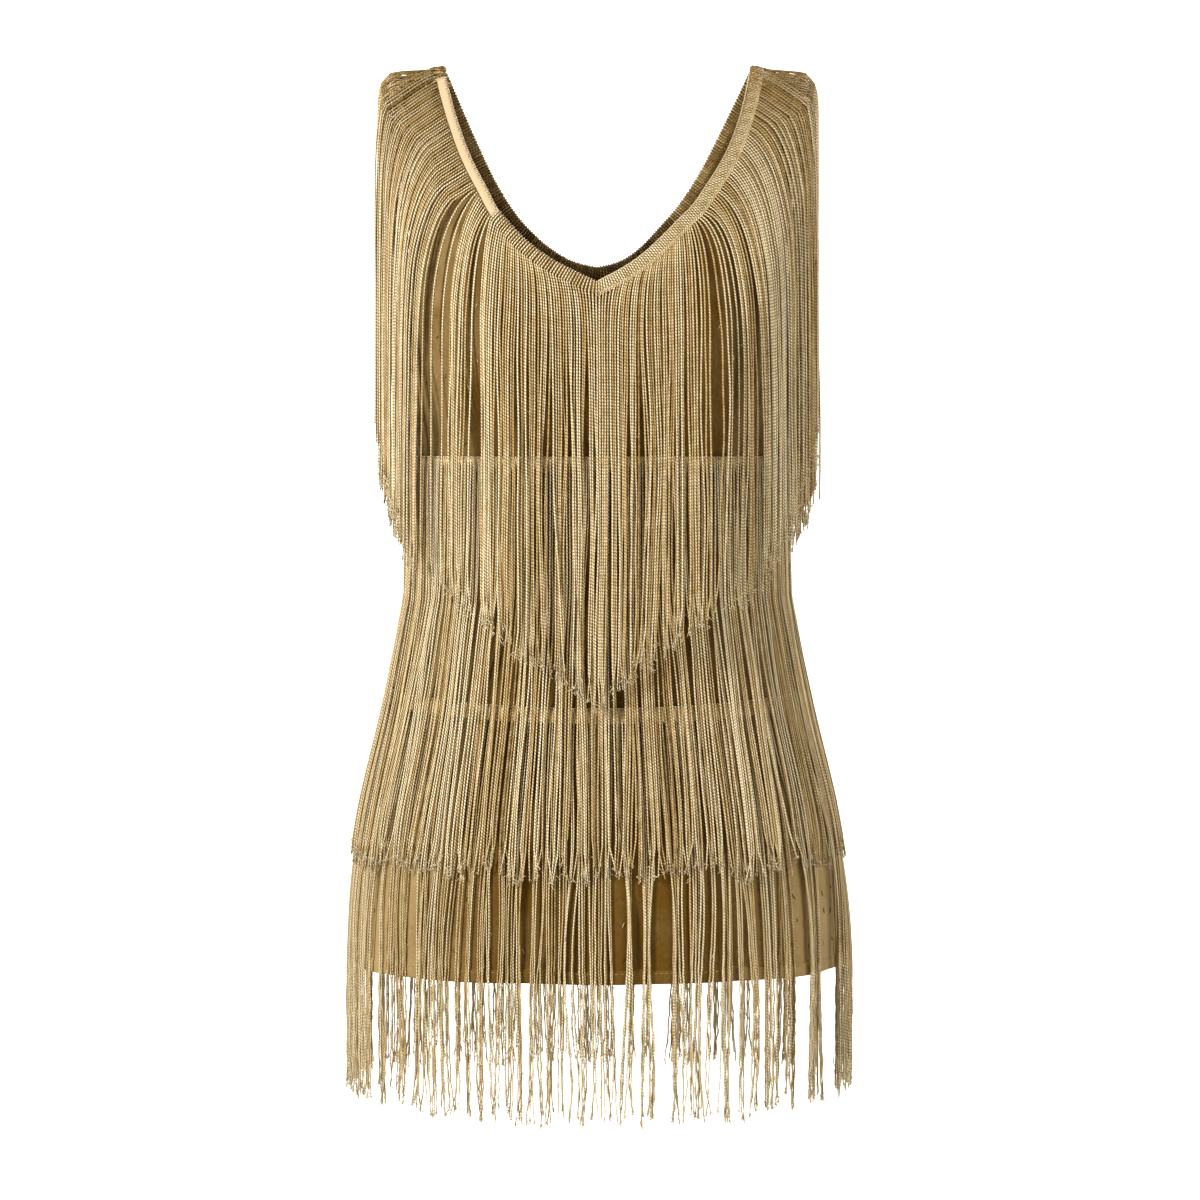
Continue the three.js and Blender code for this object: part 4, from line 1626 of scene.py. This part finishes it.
        path, off = self.hanging((x, out, z), plan_at, self.lengths(rng, root_at, self.length))
        shares = np.linspace(0, 1, path.shape[1])
        lift = lerp(self.lift + 0.4, self.far_lift, np.minimum(shares * 3.2, 1)) + 1
        over = np.abs(share) <= self.over_edge_to
        if not self.over_edge_right:
            over &= share < 0
        lines = self.lay_threads(threads, root_at, path, off, np.broadcast_to(lift, path.shape[:2]))
        self.wrap(threads, share[over], lines[over])

    def wrap(self, threads: Threads, share: Array, lines: Array) -> None:
        """Adds the stretch of each thread that comes up inside and turns over the neck edge.

        Args:
            threads: the set that takes them.
            share: the threads' shares of the neck edge.
            lines: the hanging stretches that they lead into.
        """
        insets = np.array([10, 6.5, 3, 0.8, -0.4, 0.8, 3, 5.5, 8.3])
        lifts = np.array([-2.7, -2.6, -2.2, -1.1, 0.9, 2.5, 2.7, 2.6, 2.45])
        points = []
        for inset, lift in zip(insets, lifts):
            x, z = TORSO.beside_neck(self.panel, share, inset)
            angle = TORSO.angle_at(self.panel, x, z)
            points.append(TORSO.over(self.panel, angle, z, np.full(share.shape, lift)))
        path = np.stack([*points, lines[:, 0], lines[:, 1]], axis=1)
        rng = np.random.default_rng(self.seed + 7)
        radius = np.full(path.shape[:2], self.radius * 1.02)
        over = int(np.argmin(insets))
        # The stretch inside the neck takes its own lower tone, a painted shade: on the back it lies in the
        # neck's shadow.
        inside, outside = (slice(0, over + 1), self.inside_shaded_tone, 0.82), (slice(over, None), 0.66, 1)
        for stretch, middle, slim in (inside, outside):
            tone = np.clip(rng.normal(middle, 0.06, len(share)), 0, 1)
            threads.add(path[:, stretch], radius[:, stretch] * slim, tone)


@dataclass
class ShoulderTier(Tier):
    """The tier round a shoulder: it lies on the strap, turns over the arm edge and hangs as a curtain."""

    right: bool = True
    arm_reach: float = 0.62
    curtain: float = 166.5
    draws_in: float = 24
    turns: float = 0.9
    settles: float = 6

    @property
    def side(self) -> int:
        """-1 on the left, 1 on the right."""
        return 1 if self.right else -1

    def place(self, u: Array, inset: Array) -> tuple[Array, Array, Array]:
        """Places beside the arm edge, from -1 at its front over 0 at the shoulder to 1 at its back.

        Args:
            u: share of the way.
            inset: distance from the edge into the strap.

        Returns:
            Angles, heights and whether each place is on the back.
        """
        u, inset = np.broadcast_arrays(np.asarray(u, float), np.asarray(inset, float))
        share = 1 - np.minimum(np.abs(u), 1) ** 1.5 * (1 - self.arm_reach)
        back = u >= 0
        angle, height = np.empty(u.shape), np.empty(u.shape)
        for panel, chosen in ((FRONT, ~back), (BACK, back)):
            arm = panel.arm.point(share[chosen])
            z = np.minimum(arm[:, 1], 0)
            edge = TORSO.plan(panel, np.radians(arm[:, 0]), z)[0]
            angle[chosen] = TORSO.angle_at(panel, self.side * (edge - inset[chosen]), z)
            height[chosen] = z
        return angle, height, back

    def points(self, u: Array, inset: Array, lift: Array) -> Array:
        """Points off the strap beside the arm edge."""
        angle, z, back = self.place(u, inset)
        lift = np.broadcast_to(lift, angle.shape)
        found = np.empty((*angle.shape, 3))
        for panel, chosen in ((FRONT, ~back), (BACK, back)):
            found[chosen] = TORSO.over(panel, angle[chosen], z[chosen], lift[chosen])
        return found

    def build(self) -> list[bpy.types.Object]:
        """Builds the heading and the threads.

        Returns:
            The pieces.
        """

        def lay(along: Array, rise: Array, lift: Array) -> Array:
            return self.points(lerp(-1, 1, along), self.heading * 0.8 * rise, lift)

        tape = tube_piece(70, self.slab(self.band_thick), lay, 180)
        threads = Threads(self.bead)
        self.hang_threads(threads)
        return self.pieces(tape, threads)

    def hang_threads(self, threads: Threads) -> None:
        """Hangs the threads over the arm edge.

        Args:
            threads: the set that takes them.
        """
        rng = np.random.default_rng(self.seed + 100)
        dense = np.linspace(-1, 1, SAMPLES)
        gone = distances(self.points(dense, np.zeros(SAMPLES), 0))
        root_at = np.arange(0.8, gone[-1] - 0.8, self.pitch)
        u = np.interp(root_at, gone, dense)
        angle, z, back = self.place(u, np.zeros(u.shape))
        for panel, chosen in ((FRONT, ~back), (BACK, back)):
            self.panel = panel
            self.hang_side(threads, u[chosen], root_at[chosen], angle[chosen], z[chosen], rng)

    def hang_side(
        self, threads: Threads, u: Array, root_at: Array, angle: Array, z: Array, rng: np.random.Generator
    ) -> None:
        """Hangs the threads of the tier's front or back half.

        Args:
            threads: the set that takes them.
            u: the threads' shares round the shoulder.
            root_at: their places along the heading, in mm.
            angle: the arm edge's angles.
            z: its heights.
            rng: the tier's random numbers.
        """
        root = TORSO.cloth(self.panel, angle, z)
        turn = np.abs(u) * self.turns
        off_x, off_out = self.side * np.cos(turn), np.sin(turn)
        hangs = self.side * (self.curtain - self.draws_in * np.abs(u) ** 2.6)
        out = self.panel.facing * root[:, 1] - TORSO.seam_gap
        clear = smoothstep(np.abs(u), 0.02, 0.42)

        def plan_at(gone: Array, height: Array, _: Array) -> tuple[Array, Array, Array, Array]:
            here = hangs + (root[:, 0] - hangs) * np.exp(-gone / self.settles)
            far, _ = TORSO.out_at(self.panel, here, height)
            return here, (far + 1) * clear, off_x, off_out

        length = self.lengths(rng, root_at, self.length)
        path, _ = self.hanging((root[:, 0], out, root[:, 2]), plan_at, length)
        off = np.broadcast_to(np.stack([off_x, off_out], -1)[:, None], (*path.shape[:2], 2))
        lines = self.lay_threads(threads, root_at, path, off, np.full(path.shape[:2], self.lift + 1.6))
        self.gather(threads, u, lines, rng)

    def gather(self, threads: Threads, u: Array, lines: Array, rng: np.random.Generator) -> None:
        """Adds the stretch of each thread that lies gathered on the strap and leads over the arm edge.

        Args:
            threads: the set that takes them.
            u: the threads' shares round the shoulder.
            lines: the hanging stretches that they lead into.
            rng: the tier's random numbers.
        """
        shares = np.array([1, 0.85, 0.68, 0.5, 0.32, 0.16, 0.04])
        lifts = np.array([1.0, 1.3, 1.7, 2.2, 3.0, 3.5, 3.1])
        shape = (len(u), len(shares))
        near_top = 1 - smoothstep(np.abs(u), 0.2, 0.45)
        reach = 9 + near_top * rng.uniform(26, 33, len(u))
        gathered = rng.normal(0, 0.5, shape) * near_top[:, None]
        sway = rng.normal(0, 0.012, shape) * near_top[:, None]
        spots = np.clip(u[:, None] + sway, -1, 1)
        start = self.points(spots, reach[:, None] * shares, lifts + np.abs(gathered) * 0.9)
        over = np.concatenate([start, lines[:, :2]], axis=1)
        threads.add(over, np.full(over.shape[:2], self.radius), np.clip(rng.normal(0.64, 0.1, len(u)), 0, 1))


@dataclass(frozen=True)
class Lamp:
    """An area light that looks at the dress."""

    name: str
    place: tuple[float, float, float]
    size: float
    watts: float
    colour: Colour


@dataclass
class Studio:
    """The camera, the soft lights, and a plain pale floor that sweeps up behind."""

    eye: tuple[float, float, float] = (0, -2.4, -0.308)
    target: tuple[float, float, float] = (0.0016, 0, -0.4088)
    lit: tuple[float, float, float] = (0, 0, -0.4)
    focal: float = 92.9
    sensor: float = 36
    floor_z: float = -1.4
    lamps: tuple[Lamp, ...] = (
        Lamp("key", (-2.2, -1.9, 0.75), 0.6, 150, (1.0, 0.97, 0.91)),
        Lamp("fill", (2.3, -1.7, 0.1), 1.2, 45, (1.0, 0.955, 0.87)),
        Lamp("top", (0.1, -0.3, 1.6), 1.2, 22, (1.0, 0.975, 0.93)),
        Lamp("back", (0.6, 2.0, 0.6), 1.4, 36, (1.0, 0.96, 0.88)),
    )
    ambient: float = 0.22
    ambient_colour: Colour = (1.0, 0.85, 0.58)
    near_glow: float = 0.08
    far_glow: float = 1.0
    near_grey: float = 0.62
    far_grey: float = 0.9
    pales_from: float = 0.2
    pales_to: float = 2.2

    def build(self) -> None:
        """Builds the studio."""
        scene = bpy.context.scene
        camera = bpy.data.cameras.new("camera")
        camera.lens = self.focal
        camera.sensor_width = self.sensor
        camera.clip_end = 50
        scene.camera = self.stand("camera", camera, self.eye, self.target)
        for lamp in self.lamps:
            light = bpy.data.lights.new(lamp.name, "AREA")
            light.shape = "DISK"
            light.size = lamp.size
            light.energy = lamp.watts
            light.color = lamp.colour
            self.stand(lamp.name, light, lamp.place, self.lit)
        world = bpy.data.worlds.new("studio")
        world.use_nodes = True
        sockets = world.node_tree.nodes["Background"].inputs
        sockets["Color"].default_value = (*self.ambient_colour, 1)
        sockets["Strength"].default_value = self.ambient
        scene.world = world
        scene.view_settings.view_transform = "Standard"
        self.sweep()

    def stand(
        self, name: str, data: bpy.types.ID, eye: Sequence[float], target: Sequence[float]
    ) -> bpy.types.Object:
        """Puts a camera or light into the scene.

        Args:
            name: the object's name.
            data: the camera or light.
            eye: where it stands.
            target: what it looks at.

        Returns:
            The object.
        """
        made = bpy.data.objects.new(name, data)
        made.location = eye
        made.rotation_euler = (Vector(target) - Vector(eye)).to_track_quat("-Z", "Y").to_euler()
        bpy.context.scene.collection.objects.link(made)
        return made

    def sweep(self) -> None:
        """Builds the floor and backdrop as one swept sheet, paler away from the camera."""
        wall_y, curve, wide, front, high = 3.6, 1.2, 6, -6, 5
        floor_run, bend_run = wall_y - curve - front, curve * math.pi / 2

        def place(across: Array, along: Array) -> Array:
            gone = along * (floor_run + bend_run + high)
            turn = np.clip((gone - floor_run) / curve, 0, math.pi / 2)
            past = np.maximum(gone - floor_run - bend_run, 0)
            y = front + np.minimum(gone, floor_run) + curve * np.sin(turn)
            z = self.floor_z + curve * (1 - np.cos(turn)) + past
            return np.stack([lerp(-wide, wide, across), y, z], -1) / MM

        shader = Shader("pale_paper", {"Emission Strength": 1.0})
        far = shader.split(shader.object_place())[1].within(self.pales_from, self.pales_to)
        glow = [(tone,) * 3 for tone in (self.near_glow, self.far_glow)]
        grey = [(tone,) * 3 for tone in (self.near_grey, self.far_grey)]
        shader.put(shader.main.inputs["Emission Color"], shader.mix(far, *glow))
        material = shader.finish(shader.mix(far, *grey), 0.9)
        joined("floor", [grid_piece(4, 60, place, (1, 1))], material)


FRONT_CREASES = (
    Crease(-52, -262, 70, 9, -3.2, 24),
    Crease(-44, -300, 46, 7, -2.2, -14),
    Crease(-36, -236, 52, 10, -2.6, 38),
    Crease(49, -270, 84, 10, -3.4, -20),
    Crease(38, -306, 50, 7, -2.0, 12),
    Crease(58, -240, 40, 8, -2.2, -42),
    Crease(-8, -285, 90, 12, -2.4, 4),
    Crease(12, -360, 60, 9, -1.8, -8),
    Crease(-30, -420, 66, 9, -2.2, 10),
    Crease(-64, -640, 92, 11, -4.2, 7),
    Crease(-38, -652, 60, 8, -2.6, -5),
    Crease(-14, -636, 96, 12, -3.8, 3),
    Crease(9, -655, 54, 8, -2.2, -9),
    Crease(31, -640, 100, 12, -4.4, -4),
    Crease(55, -650, 66, 9, -3.0, 8),
    Crease(74, -636, 84, 10, -3.6, -6),
)
BACK_CREASES = (
    Crease(-50, -250, 76, 10, -3.0, 18),
    Crease(-18, -330, 84, 11, -3.4, -6),
    Crease(16, -350, 70, 10, -2.8, 8),
    Crease(46, -262, 64, 9, -2.6, -22),
    Crease(0, -420, 58, 9, -2.2, 2),
    Crease(-66, -645, 80, 10, -3.8, -7),
    Crease(-34, -636, 98, 12, -4.0, 4),
    Crease(-4, -652, 62, 9, -2.6, -5),
    Crease(26, -640, 90, 11, -3.8, 6),
    Crease(60, -648, 72, 10, -3.2, -8),
)
LEFT_FALLS = (
    Fall(0, 0), Fall(0.2, 40), Fall(0.4, 81), Fall(0.42, 84), Fall(0.43, 90), Fall(0.445, 97),
    Fall(0.51, 107), Fall(0.525, 117), Fall(0.54, 128), Fall(0.58, 133), Fall(0.6, 137), Fall(0.8, 149),
    Fall(1, 163),
)
RIGHT_FALLS = (
    Fall(0, 0), Fall(0.18, 34), Fall(0.355, 69), Fall(0.37, 74), Fall(0.39, 80), Fall(0.405, 89),
    Fall(0.42, 94), Fall(0.44, 103), Fall(0.5, 111), Fall(0.52, 117), Fall(0.6, 124), Fall(0.8, 144),
    Fall(1, 162),
)
BACK_FALLS = (Fall(0, 0), Fall(0.3, 48), Fall(0.6, 94), Fall(0.8, 126), Fall(1, 160))
# Where daylight shows through the lowest fringe, in mm across at its front.
OPEN_GAPS = (
    (-172, -165), (-142, -136), (-103, -98), (-58, -49), (-24, -19), (10, 22), (25, 34), (39, 56), (88, 93),
    (118, 124), (147, 160), (168, 182),
)


def seen_behind(gaps: Sequence[tuple[float, float]]) -> tuple[tuple[float, float], ...]:
    """The same gaps as the photo's camera sees them at the back, which is further from it."""
    near, aside = 1.1, 1.04
    found = []
    for low, high in gaps:
        scale = float(lerp(near, aside, smoothstep(abs(low + high) / 2, 130, 175)))
        found.append((low * scale, high * scale))
    return tuple(found)


def build_dress() -> list[bpy.types.Object]:
    """Builds the whole dress.

    Returns:
        Its pieces.
    """
    yarn = YarnFinish().material()
    knit = KnitFinish("satin_knit").material()
    # The turned hem is the same satin painted a little paler, a painted light on the fold.
    turned = KnitFinish("satin_hem", dark=(0.1, 0.054, 0.008), light=(0.38, 0.275, 0.125)).material()
    band = BandFinish("woven_heading").material()
    ribbed = BandFinish(
        "ribbed_band", dark=(0.24, 0.15, 0.045), light=(0.72, 0.58, 0.34), pitch=1.5
    ).material()
    tape = BandFinish(
        "smooth_tape", dark=(0.37, 0.275, 0.175), light=(0.49, 0.375, 0.245), depth=0.06, ridged=0.15
    ).material()
    lower = Hang(
        clump_low=3, clump_high=9, pull_low=0.12, pull_high=0.5, wander=1.9, frizz=1, crimp=0.35, fray=6.5,
        points=46, sides=4,
    )
    middle = Hang(
        clump_low=4, clump_high=10, pull_low=0.08, pull_high=0.4, wander=1.5, ragged=0.018, hook=2.4,
        fray=2.8,
    )
    neck = Hang(clump_low=8, clump_high=18, pull_low=0.08, pull_high=0.32, wander=0.9)
    shoulder = Hang(clump_low=6, clump_high=13, pull_low=0.1, pull_high=0.35, wander=1.1)
    pieces: list[bpy.types.Object] = []
    for panel, creases, flat in ((FRONT, FRONT_CREASES, (0.52, 0.69)), (BACK, BACK_CREASES, (0.51, 0.69))):
        pieces += ClothPanel(panel, creases, knit, turned, yarn, flat, area=0.27).build()
    for panel, gaps in ((FRONT, OPEN_GAPS), (BACK, seen_behind(OPEN_GAPS))):
        word, seed = panel.side.name.lower(), 20 + panel.facing
        pieces += RingTier(
            f"lower_fringe_{word}", panel, yarn, band, lower, radius=0.64, pitch=1.95, seed=seed + 1,
            top=-477, dip=9, end_lift=0.9, parted=gaps,
        ).build()
        pieces += RingTier(
            f"middle_fringe_{word}", panel, yarn, band, middle, radius=0.68, pitch=2.05, length=313,
            seed=seed + 2,
        ).build()
    pieces += NeckTier(
        "neck_fringe_front", FRONT, yarn, band, neck, radius=0.7, pitch=2.15, length=311, seed=41,
        left_falls=LEFT_FALLS, right_falls=RIGHT_FALLS, over_edge_to=0.425, over_edge_right=False,
        stretches=(
            Stretch("heading", -0.42, 0, band),
            Stretch("band_right", 0, 1, ribbed, ribbed=True, knotted=True),
            Stretch("tape_left", -0.95, -0.42, tape, thick=1.5, wide=7.4, sewn=True, knotted=True),
        ),
    ).build()
    pieces += NeckTier(
        "neck_fringe_back", BACK, yarn, band, neck, radius=0.72, pitch=2.15, seed=42, left_falls=BACK_FALLS,
        right_falls=BACK_FALLS, inside_shaded_tone=0.26, stretches=(Stretch("heading", -1, 1, band),),
    ).build()
    for right, word in ((False, "left"), (True, "right")):
        pieces += ShoulderTier(
            f"shoulder_fringe_{word}", FRONT, yarn, band, shoulder, radius=0.7, seed=51 + right, right=right,
        ).build()
    return pieces


def main() -> None:
    """Builds the studio and the dress, and reports each piece."""
    logging.basicConfig(level=logging.INFO, format="%(name)s: %(message)s")
    Studio().build()
    pieces = build_dress()


if __name__ == "__main__":
    main()
